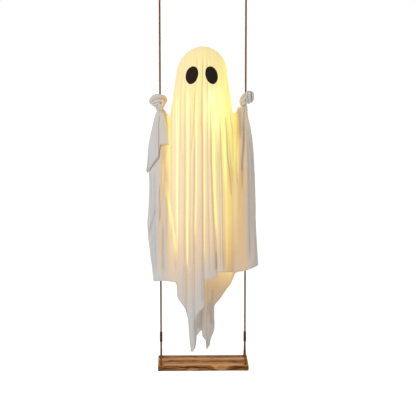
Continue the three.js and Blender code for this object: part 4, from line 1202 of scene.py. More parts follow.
@dataclass
class SwingRope:
    """A three-strand rope: its eye hangs on the hook and its legs hold the seat."""

    side: Side
    material: Material
    reach: float = ROPE_REACH
    diameter: float = 6.0
    strands: int = 3
    strand_reach: float = 1.42
    strand_radius: float = 1.76
    lay_length: float = 18.0
    points_round: int = 18
    step: float = 1.6
    path_step: float = 8.0
    apart: float = 6.4
    eye_radius: float = 12.0
    eye_top: float = 5.8
    neck_drop: float = 40.0
    binding_drop: float = 66.0
    tail_drop: float = 84.0
    fork_drop: float = 1240.0
    fork_binding: float = 35.0
    seat_top: float = SEAT_TOP
    seat_thickness: float = 19.0
    hole_reach: float = 57.0
    hole_flare: float = 7.0
    gap: float = 0.3

    def route(self) -> list[Place]:
        """The places that the rope passes: tail, eye, standing part, legs and run under the seat.

        Returns:
            The places, in millimetres.
        """
        radius, fork, hole = self.diameter / 2, self.fork_drop, self.hole_reach
        low = self.seat_top + self.seat_thickness
        turns = [math.radians(30 * k) for k in range(7)]
        middle, bend = self.eye_top - self.eye_radius, self.eye_radius
        start = fork + self.diameter * 1.2
        leg = self.seat_top - start
        shares = ((0.14, 0.09), (0.4, 0.38), (0.74, 0.68), (0.93, 0.9), (1, 1.13))
        turn_in, run = self.hole_flare * 0.6, low + self.gap + radius
        under = (
            (-hole, -low + self.seat_thickness * 0.42),
            (-hole + radius * 0.5, -low + radius * 0.9),
            (-hole + turn_in + radius * 0.3, -run + radius * 0.35),
            (-hole + turn_in * 2 + self.diameter, -run),
        )
        standing = (
            self.binding_drop, self.tail_drop, self.tail_drop * 2, fork / 2,
            fork - self.fork_binding * 2, fork - self.fork_binding, fork, fork + radius,
        )
        places = (
            (self.apart, -self.tail_drop),
            (self.apart, -self.binding_drop),
            (mix(self.apart, bend, 0.7), -self.neck_drop),
            *((bend * math.cos(turn), middle + bend * math.sin(turn)) for turn in turns),
            (-bend * 0.7, -self.neck_drop),
            *((0, -drop) for drop in standing),
            *((-hole * y, -(start + leg * z)) for y, z in shares),
            *under,
            *((-y, z) for y, z in reversed(under)),
            *((mix(self.apart, hole, y), -(start + leg * z)) for y, z in reversed(shares)),
            (self.apart, -fork - radius),
            (self.apart, -fork),
            (self.apart, -fork + self.fork_binding * 0.8),
        )
        return [(self.side.value * self.reach, y, z) for y, z in places]

    def make(self) -> None:
        line = curve_through(self.route(), self.step)
        run = np.arange(len(line)) * line_length(line) / (len(line) - 1)
        round_it = np.arange(self.points_round) * math.tau / self.points_round
        twist = run[:, None] * math.tau / self.lay_length
        sector = math.tau / self.strands
        from_strand = (round_it[None] - twist + sector / 2) % sector - sector / 2
        radius = self.strand_reach * np.cos(from_strand) + np.sqrt(
            self.strand_radius**2 - (self.strand_reach * np.sin(from_strand)) ** 2
        )
        angle = np.broadcast_to(round_it[None], radius.shape)
        sections = np.stack([radius * np.cos(angle), radius * np.sin(angle)], axis=2)
        rope = swept_piece(f"swing_rope_{self.side.word}", line, sections)
        # Painted shade in the grooves between the strands
        groove = 1 - np.clip((radius - radius.min()) / 0.95, 0, 1)
        give_values(rope, "groove", np.concatenate([groove.ravel(), [1, 1]]))
        finish_piece(rope, self.material, "rope_fibre", f"rope_{self.side.word}")


@dataclass
class TwineBinding:
    """Dark twine wound tightly round two strands that lie side by side."""

    name: str
    node: str
    side: Side
    top_drop: float
    height: float
    turns: int
    material: Material
    reach: float = ROPE_REACH
    apart: float = 6.4
    wrap_radius: float = 3.75
    points_each: int = 26
    sides: int = 8

    def make(self) -> None:
        """Makes the winding."""
        twine = self.height / self.turns / 2
        arc = math.pi * self.wrap_radius
        lap = 2 * arc + 2 * self.apart
        run = np.linspace(0, self.turns - 1, (self.turns - 1) * self.points_each + 1)
        place = (run % 1.0) * lap
        line = np.zeros((len(run), 3))
        radius = self.wrap_radius
        for i, at in enumerate(place):
            if at < arc:
                turn = at / radius
                line[i, :2] = radius * math.cos(turn), -radius * math.sin(turn)
            elif at < arc + self.apart:
                line[i, :2] = -radius, at - arc
            elif at < 2 * arc + self.apart:
                turn = (at - arc - self.apart) / radius
                line[i, :2] = -radius * math.cos(turn), self.apart + radius * math.sin(turn)
            else:
                line[i, :2] = radius, self.apart - (at - 2 * arc - self.apart)
        line[:, 0] += self.side.value * self.reach
        line[:, 2] = -self.top_drop - mix(twine, self.height - twine, run / run[-1])
        angle = np.arange(self.sides) * math.tau / self.sides
        thick = twine * (1 + 0.06 * np.sin(run * 17.0))[:, None]
        sections = np.stack([thick * np.cos(angle), thick * np.sin(angle)], axis=2)
        winding = swept_piece(self.name, line, sections)
        give_values(winding, "groove", np.zeros(len(winding.data.vertices)))
        finish_piece(winding, self.material, "rope_binding", self.node)


# Cloth


@dataclass(frozen=True)
class Fold:
    """A fold that runs down the cloth: a groove, how the lamp's light shows in it, and the shade painted
    in it and along its edge.
    """

    path: Table
    half_width: float = 4.0
    low_half_width: float | None = None
    depth: float = 5.0
    # glow is painted lamp light in the fold, dark is painted shade in it, edge is a painted shade line
    # beside it
    glow: float = 0.0
    dark: float = 0.0
    fade: float = 40.0
    lit_until: float = 2000.0
    edge: float = 0.0
    edge_gap: float = 6.5
    yellow: float = 0.0
    amber: float = 0.0
    lit_fade: float = 90.0
    edge_half_width: float = 2.3

    def strength(self, place: np.ndarray, drop: np.ndarray) -> Three:
        """How strong the fold is at places on the cloth.

        Args:
            place: Places across.
            drop: Drops.

        Returns:
            The share of its depth, the share of its painted light and shade, and the painted shade line
            along its edge.
        """
        top, low = self.path[0][0], self.path[-1][0]
        half = mix(
            self.half_width,
            self.low_half_width or self.half_width,
            np.clip((drop - top) / (low - top), 0, 1),
        )
        ends = rising(drop, top, self.fade) * falling(drop, low, self.fade)
        middle = look_up(self.path, drop)
        away = np.abs(place - middle) / half
        lit_ends = ends * falling(drop, self.lit_until, self.lit_fade)
        line = bell(place, middle - self.edge_gap, self.edge_half_width) * ends * self.edge
        return np.exp(-(away**2)) * ends, np.exp(-(away**3)) * lit_ends, line


@dataclass
class LampGlow:
    """Where the lamp's light shows through the cloth."""

    down_the_front: Table = (
        (241, 0.52), (265, 0.51), (330, 0.50), (395, 0.52), (443, 0.53), (500, 0.50), (575, 0.47),
        (674, 0.45), (773, 0.44), (823, 0.42), (873, 0.37), (953, 0.25), (1010, 0.13), (1060, 0.07),
        (1120, 0.04), (1200, 0.01),
    )
    inside_the_back: Table = (
        (241, 0.47), (330, 0.53), (443, 0.58), (575, 0.50), (773, 0.42), (873, 0.36), (990, 0.32),
        (1030, 0.26), (1080, 0.18), (1130, 0.10), (1200, 0.04), (1280, 0.0),
    )
    lamp_place: float = 43.0
    lamp_drop: float = 440.0
    lamp_half_width: float = 27.0
    lamp_half_height: float = 64.0
    lamp_lift: float = 0.38
    right_lift: float = 0.10
    shoulder_lift: float = 0.12
    right_gain: float = 0.28
    middle_dim: float = 0.14
    hem_dim: float = 0.45
    left_drape: Table = (
        (0.0, 0.58), (0.1, 0.52), (0.2, 0.42), (0.28, 0.31), (0.41, 0.19), (0.52, 0.09),
        (0.7, 0.03), (0.85, 0.0),
    )
    right_drape: Table = (
        (0.0, 0.56), (0.1, 0.52), (0.2, 0.42), (0.3, 0.34), (0.42, 0.28), (0.5, 0.2), (0.6, 0.13),
        (0.75, 0.09), (1.0, 0.05),
    )
    right_drape_high: Table = (
        (0.0, 0.66), (0.2, 0.62), (0.28, 0.42), (0.36, 0.22), (0.6, 0.12), (1.0, 0.06),
    )
    down_the_drapes: Table = (
        (440, 1.1), (560, 1.0), (680, 0.95), (780, 0.9), (880, 0.7), (950, 0.5), (1030, 0.2),
    )
    down_the_left: Table = (
        (440, 1.1), (640, 0.95), (700, 0.72), (780, 0.45), (950, 0.3), (1030, 0.15),
    )
    yellow_down: Table = ((241, 0.3), (300, 0.42), (400, 0.5), (470, 0.3), (540, 0.14), (640, 0.0))
    yellow_right: Table = ((241, 0.40), (330, 0.72), (600, 0.74), (680, 0.5), (740, 0.15), (800, 0.0))
    yellow_left: Table = ((440, 0.7), (600, 0.6), (700, 0.3), (800, 0.0))

    def on_panel(self, place: np.ndarray, drop: np.ndarray) -> Three:
        """The light on the panels, without their folds.

        Args:
            place: Places across.
            drop: Drops.

        Returns:
            The light, how amber and how yellow it is.
        """
        light = look_up(self.down_the_front, drop)
        # Under the chest the middle is dimmer and the right side is brighter
        light = light * (1 - self.middle_dim * bell(place, 4.0, 36.0) * rising(drop, 690, 120))
        light = light * (1 + self.right_gain * rising(place, 62, 14) * rising(drop, 640, 100))
        # The lamp's own spot, and the brighter side and shoulder that it shines on
        spot = bell(place, self.lamp_place, self.lamp_half_width)
        light = light + self.lamp_lift * spot * bell(drop, self.lamp_drop, self.lamp_half_height)
        light = light + self.right_lift * rising(place, 0, 60) * falling(drop, 620, 120)
        light = light + self.shoulder_lift * rising(place, 55, 25) * falling(drop, 560, 120)
        light = light * (1 - self.hem_dim * bell(place, 27.0, 22.0) * rising(drop, 900, 90))
        # Amber where the arm's cloth doubles, yellow high up, to the right and at the left arm
        amber = rising(place, 70, 16) * rising(drop + 3 * (place - 75), 600, 110)
        high = look_up(self.yellow_down, drop) * mix(0.6, 1.0, rising(place, -70, 70))
        right = look_up(self.yellow_right, drop) * rising(place, 18, 60)
        left = look_up(self.yellow_left, drop) * rising(-place, 96, 14)
        yellow = np.maximum(np.maximum(high, right), left)
        near_lamp = bell(place, 36.0, 34.0) * bell(drop, self.lamp_drop, 105)
        return light, amber, yellow * (1 - near_lamp) * (1 - 0.7 * amber)

    def on_drape(self, side: Side, share: np.ndarray, drop: np.ndarray) -> Three:
        """The light on a side drape.

        Args:
            side: Which drape.
            share: The place between its seam and its outer edge.
            drop: Drops.

        Returns:
            The light, how amber and how yellow it is.
        """
        light = look_up(self.left_drape if side is Side.LEFT else self.right_drape, share)
        fade = look_up(self.down_the_drapes, drop)
        if side is Side.LEFT:
            fade = mix(fade, look_up(self.down_the_left, drop), rising(share, 0.04, 0.1))
        else:
            high = 1 - rising(drop, 590, 110)
            light = mix(light, look_up(self.right_drape_high, share), high)
            fade = mix(fade, 1.0, rising(share, 0.2, 0.3))
        amber = mix(0.5, 0.85, rising(share, 0.1, 0.12)) * (1 - 0.6 * rising(share, 0.45, 0.2))
        yellow = 0.75 * (1 - rising(share, 0.08, 0.16)) * (1 - rising(drop, 560, 140))
        return light * fade, amber, yellow


@dataclass
class GownShape:
    """The gown's form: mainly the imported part's sizes, but its right notch is 5 mm lower."""

    hood_top: float = 241.7
    crown_radius: float = 70.6
    crown_height: float = 75.0
    chest: float = 477.0
    flare: float = 35.0
    lean_most: float = 4.0
    lean_drop: float = 360.0
    depth_at_hem: float = 86.0
    depth_at_point: float = 58.0
    hem_level: float = 950.0
    point_drop: float = 1260.0
    drape_half_depth: float = 46.0
    drape_opening: float = 170.0
    sleeve_half: float = 5.5
    sleeve_round: float = 9.0
    rope_reach: float = ROPE_REACH
    neck_radius: float = 10.0
    gather: float = 120.0
    widening: float = 64.0
    notch_drops: tuple[float, float] = (477.0, 462.0)
    neck_drops: tuple[float, float] = (449.0, 441.0)
    right_ridge: Table = (
        (0, 0), (0.17, -0.1), (0.34, 0.0), (0.5, 0.3), (0.6, 0.75), (0.7, 0.93), (1, 1),
    )
    left_edge: Table = (
        (0, 0.83), (0.042, 0.879), (0.118, 0.934), (0.207, 0.984), (0.332, 0.989), (0.456, 0.984),
        (0.56, 1), (0.666, 1.027), (0.746, 1.022), (0.819, 0.989), (0.92, 0.951), (1, 0.918),
    )
    right_edge: Table = (
        (0, 0.831), (0.088, 0.87), (0.184, 0.921), (0.283, 0.955), (0.425, 0.983), (0.62, 1),
        (0.697, 1), (0.865, 1.028), (1, 1.051),
    )

    def notch(self, side: Side) -> float:
        """The drop at which an arm leaves the gown."""
        return self.notch_drops[side is Side.RIGHT]

    def neck(self, side: Side) -> float:
        """The drop at which a hand gathers the cloth."""
        return self.neck_drops[side is Side.RIGHT]

    def radius(self, drop: Numbers) -> Numbers:
        """The gown's radius.

        Args:
            drop: Drops.

        Returns:
            The radius at each of them.
        """
        under = np.maximum(0.0, drop - self.hood_top)
        crown = np.sqrt(1 - (1 - np.minimum(1.0, under / self.crown_height)) ** 2)
        straight = np.minimum(1.0, under / (self.chest - self.hood_top))
        return self.crown_radius * crown + self.flare * straight

    def lean(self, drop: Numbers) -> Numbers:
        """How far the gown's middle stands to the side."""
        return -self.lean_most * rising(drop, self.hood_top, self.lean_drop - self.hood_top)

    def depth(self, drop: Numbers) -> Numbers:
        """The gown's depth at its middle.

        Args:
            drop: Drops.

        Returns:
            The depth at each of them.
        """
        to_hem = np.clip((drop - self.chest) / (self.hem_level - self.chest), 0, 1)
        to_point = np.clip((drop - self.hem_level) / (self.point_drop - self.hem_level), 0, 1)
        skirt = mix(self.radius(self.chest), self.depth_at_hem, to_hem)
        below = mix(skirt, self.depth_at_point, to_point)
        return np.where(drop <= self.chest, self.radius(drop), below)

    def rounded(self, under: Numbers) -> Numbers:
        """The half thickness of a sleeve at a distance under its upper fold."""
        share = np.clip(under / self.sleeve_round, 0, 1)
        return self.sleeve_half * np.sqrt(1 - (1 - share) ** 2)

    def edge_depth(self, side: Side, drop: Numbers) -> Numbers:
        """How far a seam stands from the middle plane.

        Args:
            side: Which seam.
            drop: Drops.

        Returns:
            The distance at each of them.
        """
        notch = self.notch(side)
        opening = rising(drop, notch, self.drape_opening)
        return self.rounded(drop - notch) + (self.drape_half_depth - self.sleeve_half) * opening

    def panel_place(self, face: Face, turn: Numbers, drop: Numbers) -> np.ndarray:
        """Places on the front or back panel.

        Args:
            face: Which panel.
            turn: From -1 at the left seam to 1 at the right one.
            drop: Drops.

        Returns:
            The places.
        """
        angle = turn * math.pi / 2
        left, right = (self.edge_depth(side, drop) for side in (Side.LEFT, Side.RIGHT))
        edge = np.where(turn < 0, left, right)
        out = edge + (self.depth(drop) - edge) * np.cos(angle)
        x = self.lean(drop) + self.radius(drop) * np.sin(angle)
        return np.stack(np.broadcast_arrays(x, face.value * out, -drop), axis=-1)

    def outer_edge(self, side: Side, drop: Numbers) -> Numbers:
        """How far a drape's outer edge stands from the middle of the ropes.

        Args:
            side: Which drape.
            drop: Drops.

        Returns:
            The distance at each of them.
        """
        if side is Side.LEFT:
            hem, beyond, shares = 1024.0, 40, self.left_edge
        else:
            hem, beyond, shares = 973.0, 35, self.right_edge
        neck = self.neck(side)
        return (self.rope_reach + beyond) * look_up(shares, (drop - neck) / (hem - neck))

    def seam_reach(self, side: Side, drop: Numbers) -> Numbers:
        """How far a seam stands from the middle of the ropes."""
        return side.value * self.lean(drop) + self.radius(drop)

    def drape_top(self, side: Side, around: Numbers) -> Three:
        """The top of a drape: gathered in the hand, or along the arm's upper fold.

        Args:
            side: Which drape.
            around: From -1 at the front seam over 0 at the outer edge to 1 at the back seam.

        Returns:
            Its reach, its depth and its drop.
        """
        ridge = np.clip((np.abs(around) - 0.5) / 0.5, 0, 1)
        turn = np.minimum(np.abs(around), 0.5) / 0.5 * math.pi
        middle = self.rope_reach - (0.0 if side is Side.LEFT else 3.0)
        ring_reach = middle + (self.neck_radius + (1 if side is Side.LEFT else -1)) * np.cos(turn)
        reach = mix(ring_reach, self.seam_reach(side, self.notch(side)), ridge)
        depth = self.neck_radius * np.sin(turn)
        slope = ridge**1.3 if side is Side.LEFT else look_up(self.right_ridge, ridge)
        return reach, depth, mix(self.neck(side), self.notch(side), slope)

    def drape_place(self, side: Side, around: Numbers, drop: Numbers) -> np.ndarray:
        """Places on a side drape.

        Args:
            side: Which drape.
            around: As for drape_top.
            drop: Drops.

        Returns:
            The places.
        """
        top_reach, top_depth, top_drop = self.drape_top(side, around)
        angle = around * math.pi / 2
        seam = self.seam_reach(side, drop)
        spread = rising(drop, top_drop, self.gather)
        reach = seam + (self.outer_edge(side, drop) - seam) * np.cos(angle)
        turned = np.abs(np.sin(angle))
        depth = self.edge_depth(side, drop) * turned
        near_top = np.maximum(top_depth, self.rounded(drop - top_drop) * turned)
        quick = rising(drop, top_drop, self.widening)
        x = side.value * mix(top_reach, reach, quick)
        y = np.sign(around) * mix(near_top, depth, spread)
        return np.stack(np.broadcast_arrays(x, y, -drop), axis=-1)

    def drape_share(self, side: Side, x: Numbers, drop: Numbers) -> Numbers:
        """The place of an x between a drape's seam and its outer edge."""
        seam = self.seam_reach(side, drop)
        return (side.value * x - seam) / (self.outer_edge(side, drop) - seam)


# The outlines of the hem, seen from in front
FRONT_HEM = (
    (-230, 1028), (-170, 1028), (-140, 1021), (-91, 1021), (-88.3, 1024), (-88, 1066), (-84.5, 1077),
    (-66, 1102), (-57.5, 1117), (-55.5, 1132), (-51.5, 1148), (-48.5, 1186), (-45.5, 1229),
    (-42, 1257), (-36.5, 1262), (-27, 1247), (-23, 1222), (-22, 1197), (-22.5, 1131), (3, 1103),
    (3.8, 1010), (9, 1012), (48, 1001), (49, 985), (80, 987), (112, 990), (139, 989), (181, 976),
    (230, 976),
)
BACK_HEM = (
    (-230, 1028), (-170, 1028), (-100, 1034), (-70, 1090), (-40, 1150), (-23, 1232), (-18, 1232),
    (-13, 1223), (-6, 1214), (-2, 1212), (-1, 1235), (11, 1251), (13, 1283), (25, 1264), (27, 1246),
    (39, 1216), (42.5, 1200), (40, 1170), (40.5, 1128), (60, 1105), (78, 1077), (96, 1052), (110, 1013),
    (181, 976), (230, 976),
)

# The grooves and ridges of both panels, with their painted light and shade. The first six front ones
# bound the flat strips.
FRONT_FOLDS = (
    Fold(
        ((395, -80), (704, -84), (1010, -86)), 5.0, 4.5, 5, 0.24, lit_until=960, edge=0.3,
        edge_gap=-7,
    ),
    Fold(
        ((370, -47), (600, -48.5), (840, -50.5), (1240, -50)), 3.6, 3.2, 5, 0.36, lit_until=1010,
        edge=0.55, edge_gap=8.5, yellow=0.35,
    ),
    Fold(
        ((370, -19), (704, -20.5), (840, -23.5), (1210, -24)), 2.6, 2.6, 4, 0.30, lit_until=900,
        edge=0.75,
    ),
    Fold(((370, 6), (704, 6.5), (1100, 8)), 2.8, 2.4, 4.5, 0.25, lit_until=990, edge=1.0, yellow=0.3),
    Fold(
        ((400, 33), (526, 36.8), (601, 37), (704, 40), (840, 46.8), (1000, 50.5)), 5.0, 3.0, 5.5, 0.31,
        lit_until=890, edge=0.95, edge_gap=8.0, yellow=0.7,
    ),
    Fold(
        ((400, 60), (430, 65), (526, 71), (704, 77), (990, 80)), 7.0, 6.0, 4.5, 0.26, lit_until=735,
        edge=0.8, edge_gap=11.0, yellow=0.7,
    ),
    Fold(((262, 9), (330, 6), (420, 3), (520, 0)), 2.4, 2.2, 2.5, 0.12, edge=0.7, edge_gap=5),
    Fold(((268, 20), (340, 22), (420, 22), (560, 21)), 2.2, 2.2, 2.0, 0.14, edge=0.6, edge_gap=4.5),
    Fold(
        ((262, -8), (320, -13), (420, -18), (600, -33)), 2.4, 2.2, 2.0, 0.16, edge=0.5, edge_gap=5,
        yellow=0.5,
    ),
    Fold(
        ((290, 50), (340, 55), (400, 50), (560, 50)), 3.0, 2.4, 2.0, 0.12, edge=0.3, edge_gap=5,
        yellow=0.8,
    ),
    Fold(((300, -52), (360, -62), (420, -66), (600, -66)), 2.4, 2.6, 2.5, 0.08, edge=0.4, edge_gap=5),
    Fold(
        ((385, -93), (520, -96), (900, -98)), 3.0, 3.0, 2.5, 0.08, lit_until=760, edge=0.35,
        edge_gap=5,
    ),
    Fold(((420, -34), (980, -36)), 2.2, 2.2, 2.0, 0.05, edge=0.3, edge_gap=4.5),
    Fold(((460, 20), (1000, 28)), 2.4, 2.4, 2.2, 0.03, edge=0.3, edge_gap=5),
    Fold(((560, 58), (760, 60), (980, 63)), 2.2, 2.2, 2.0, 0.0, 0.1),
    Fold(
        ((455, 77), (526, 82), (601, 85), (676, 95), (740, 99)), 2.6, 2.2, 3.0, 0.0, 0.4, 24,
        amber=0.9,
    ),
    Fold(((440, 86), (520, 93), (601, 99), (660, 104)), 3.0, 3.0, 2.0, 0.14, yellow=0.9),
    Fold(((440, 91), (526, 103), (545, 107)), 1.8, 1.8, 2.0, 0.0, 0.22, 20, amber=0.8),
    Fold(((462, 114), (500, 111), (545, 107)), 1.8, 1.8, 1.5, 0.0, 0.2, 20, amber=0.8),
    Fold(
        ((446, 120), (500, 119), (560, 116), (640, 114), (700, 119)), 3.0, 3.0, 3.0, 0.0, 0.2, 14,
        amber=1.0,
    ),
    Fold(
        ((436, 141), (500, 141), (560, 140.5), (590, 137.5), (620, 134.5), (660, 134.5)), 3.4, 3.2,
        4, 0.0, 0.75, 14,
    ),
    Fold(((600, 135.5), (660, 134.5), (740, 134)), 3.0, 3.0, 2, 0.0, 0.5, 60),
    Fold(((436, 148.5), (520, 149), (600, 147.5), (720, 146)), 2.8, 3.4, -1.5, 0.13, 0.0, 14, amber=0.2),
    Fold(((450, 127), (505, 127.5), (545, 127)), 2.6, 2.4, 2.5, 0.0, 0.6, 14),
    Fold(((560, 127), (700, 127), (800, 126)), 2.4, 2.6, 1.5, 0.0, 0.12),
    Fold(((470, 148), (640, 158), (960, 164)), 3.5, 5.0, 4, 0.0, 0.18),
    Fold(((470, 153), (640, 168), (960, 171)), 2.4, 3.0, 2.5, 0.0, 0.12),
    Fold(
        ((600, -128), (690, -131), (760, -139), (980, -141), (1010, -140)), 3.0, 3.0, 3, 0.25, 0.0, 30,
        edge=0.5, edge_gap=-5, amber=0.9,
    ),
    Fold(
        ((655, -124), (714, -117), (745, -112.5), (799, -104), (857, -95), (925, -88), (990, -85)),
        6.0, 4.4, 2.5, 0.20, 0.0, 90, lit_until=985, edge=0.35, edge_gap=-7, yellow=0.4,
    ),
    Fold(((600, -112), (760, -116), (900, -119)), 2.2, 2.2, 2, 0.0, 0.12),
    Fold(((566, -113), (600, -121), (640, -129)), 2.0, 2.0, 2, 0.0, 0.28, 10, amber=0.9),
    Fold(((572, -126), (628, -129)), 6.0, 4.0, 0.5, 0.0, 0.14, 14, amber=0.8),
    Fold(((630, -120), (700, -119)), 1.8, 1.8, 1.5, 0.0, 0.2, 14),
    Fold(((690, -141), (830, -140)), 1.7, 1.7, 1.0, 0.0, 0.55, 20, amber=0.8),
    Fold(((640, -158), (1010, -156)), 4.0, 5.0, 4, 0.0, 0.2),
    Fold(((650, -172), (850, -166), (1015, -168)), 3.0, 3.0, 3, 0.0, 0.16),
    Fold(((960, -88), (1090, -86)), 2.4, 2.4, 0.5, 0.14, amber=0.9),
    Fold(((950, -50), (1120, -51)), 2.6, 2.4, 0.5, 0.16, amber=0.8),
    Fold(((930, -30), (1090, -30)), 2.6, 2.4, 1.0, 0.12, amber=0.8),
    Fold(((940, -62), (1100, -64)), 2.2, 2.2, 1.5, 0.0, 0.14),
    Fold(((900, 47), (1005, 50)), 4.5, 4.5, 2.5, 0.0, 0.34),
    Fold(((810, -131), (1010, -130)), 4.5, 5.0, 1.0, 0.0, 0.34, 50, amber=0.7),
    Fold(((900, 2), (1110, 1)), 2.4, 2.4, 2.5, 0.0, 0.22),
    Fold(((890, 71), (995, 74)), 2.6, 2.6, 1.5, 0.0, 0.22),
    Fold(((1130, -22), (1290, -20)), 5.5, 6.0, 2.0, 0.0, 0.46, 30),
    Fold(
        ((765, -154), (789, -158), (830, -169), (861, -178), (885, -180)), 3.0, 3.6, 3.0, 0.0, 0.42,
        30,
    ),
    Fold(((745, -150), (790, -152), (850, -160)), 2.6, 2.6, -1.5, 0.05, 0.0, 30),
    Fold(((840, -178), (880, -184), (930, -184)), 3.0, 3.0, 2.0, 0.0, 0.18, 30),
)
BACK_FOLDS = (
    Fold(((390, -70), (1060, -78)), 7, 7, 5, 0.2, lit_until=940),
    Fold(((370, -34), (1180, -38)), 4.5, 4.5, 6, 0.3, lit_until=940),
    Fold(((380, -8), (1220, -5)), 4, 4, 4, 0.25, lit_until=940),
    Fold(((365, 24), (1240, 26)), 4.5, 4.5, 5, 0.3, lit_until=940),
    Fold(((390, 60), (1080, 66)), 6, 6, 5, 0.2, lit_until=940),
    Fold(((690, -140), (1040, -140)), 4.5, 4.5, 7, 0.0, 0.4),
    Fold(((480, 138), (990, 138)), 5, 6, 7, 0.0, 0.4),
    Fold(((300, 2), (420, 3)), 3.2, 3.2, 2.5, 0.1),
    Fold(((300, -22), (430, -24)), 3.2, 3.2, 2.5, 0.1),
    Fold(((960, 14), (1150, 15)), 2.8, 2.6, 1.0, 0.10, amber=0.4),
    Fold(((1060, 40), (1130, 36), (1200, 30)), 2.4, 2.4, 2.0, 0.0, 0.38, 20),
    Fold(((1110, 26), (1150, 28), (1180, 36), (1200, 40)), 2.2, 2.4, 2.5, 0.0, 0.5, 15),
    Fold(((1120, 22), (1200, 18), (1270, 20)), 2.4, 2.4, 2.5, 0.0, 0.34, 15),
    Fold(((1110, -2), (1150, -4), (1215, -10)), 12.0, 14.0, 2.0, 0.0, 0.5, 15),
)


def above_line(x: np.ndarray, drop: np.ndarray, line: Table) -> np.ndarray:
    """How far places are above a hem's outline: positive above it, negative below.

    Args:
        x: Places across.
        drop: Drops.
        line: The outline.

    Returns:
        Distances in millimetres.
    """
    point = np.stack([x, drop], axis=-1)
    nearest = np.full(np.shape(x), 1e9)
    for start, end in zip(line[:-1], line[1:]):
        a, b = np.array(start, float), np.array(end, float)
        share = np.clip(((point - a) @ (b - a)) / ((b - a) @ (b - a)), 0, 1)
        away = np.linalg.norm(point - (a + share[..., None] * (b - a)), axis=-1)
        nearest = np.minimum(nearest, away)
    return np.where(drop < look_up(line, x), nearest, -nearest)


def cut_below(places: np.ndarray, faces: np.ndarray, keep: np.ndarray) -> tuple[np.ndarray, list]:
    """Cuts a sheet along the line where a value passes 0.

    Args:
        places: The sheet's points.
        faces: Its quads.
        keep: One value for each point. What is above 0 stays.

    Returns:
        The points and the faces that stay.
    """
    inside = keep[faces] > 0
    kept = [tuple(face) for face in faces[inside.all(axis=1)]]
    points, made = list(places), {}
    for face in faces[inside.any(axis=1) & ~inside.all(axis=1)]:
        ring = []
        for a, b in zip(face, np.roll(face, -1)):
            if keep[a] > 0:
                ring.append(int(a))
            if (keep[a] > 0) != (keep[b] > 0):
                key = (min(a, b), max(a, b))
                if key not in made:
                    share = np.clip(keep[a] / (keep[a] - keep[b]), 0.02, 0.98)
                    made[key] = len(points)
                    points.append(mix(places[a], places[b], share))
                ring.append(made[key])
        kept.append(tuple(ring))
    used = sorted({i for face in kept for i in face})
    new = {old: k for k, old in enumerate(used)}
    return np.array([points[i] for i in used]), [tuple(new[i] for i in face) for face in kept]


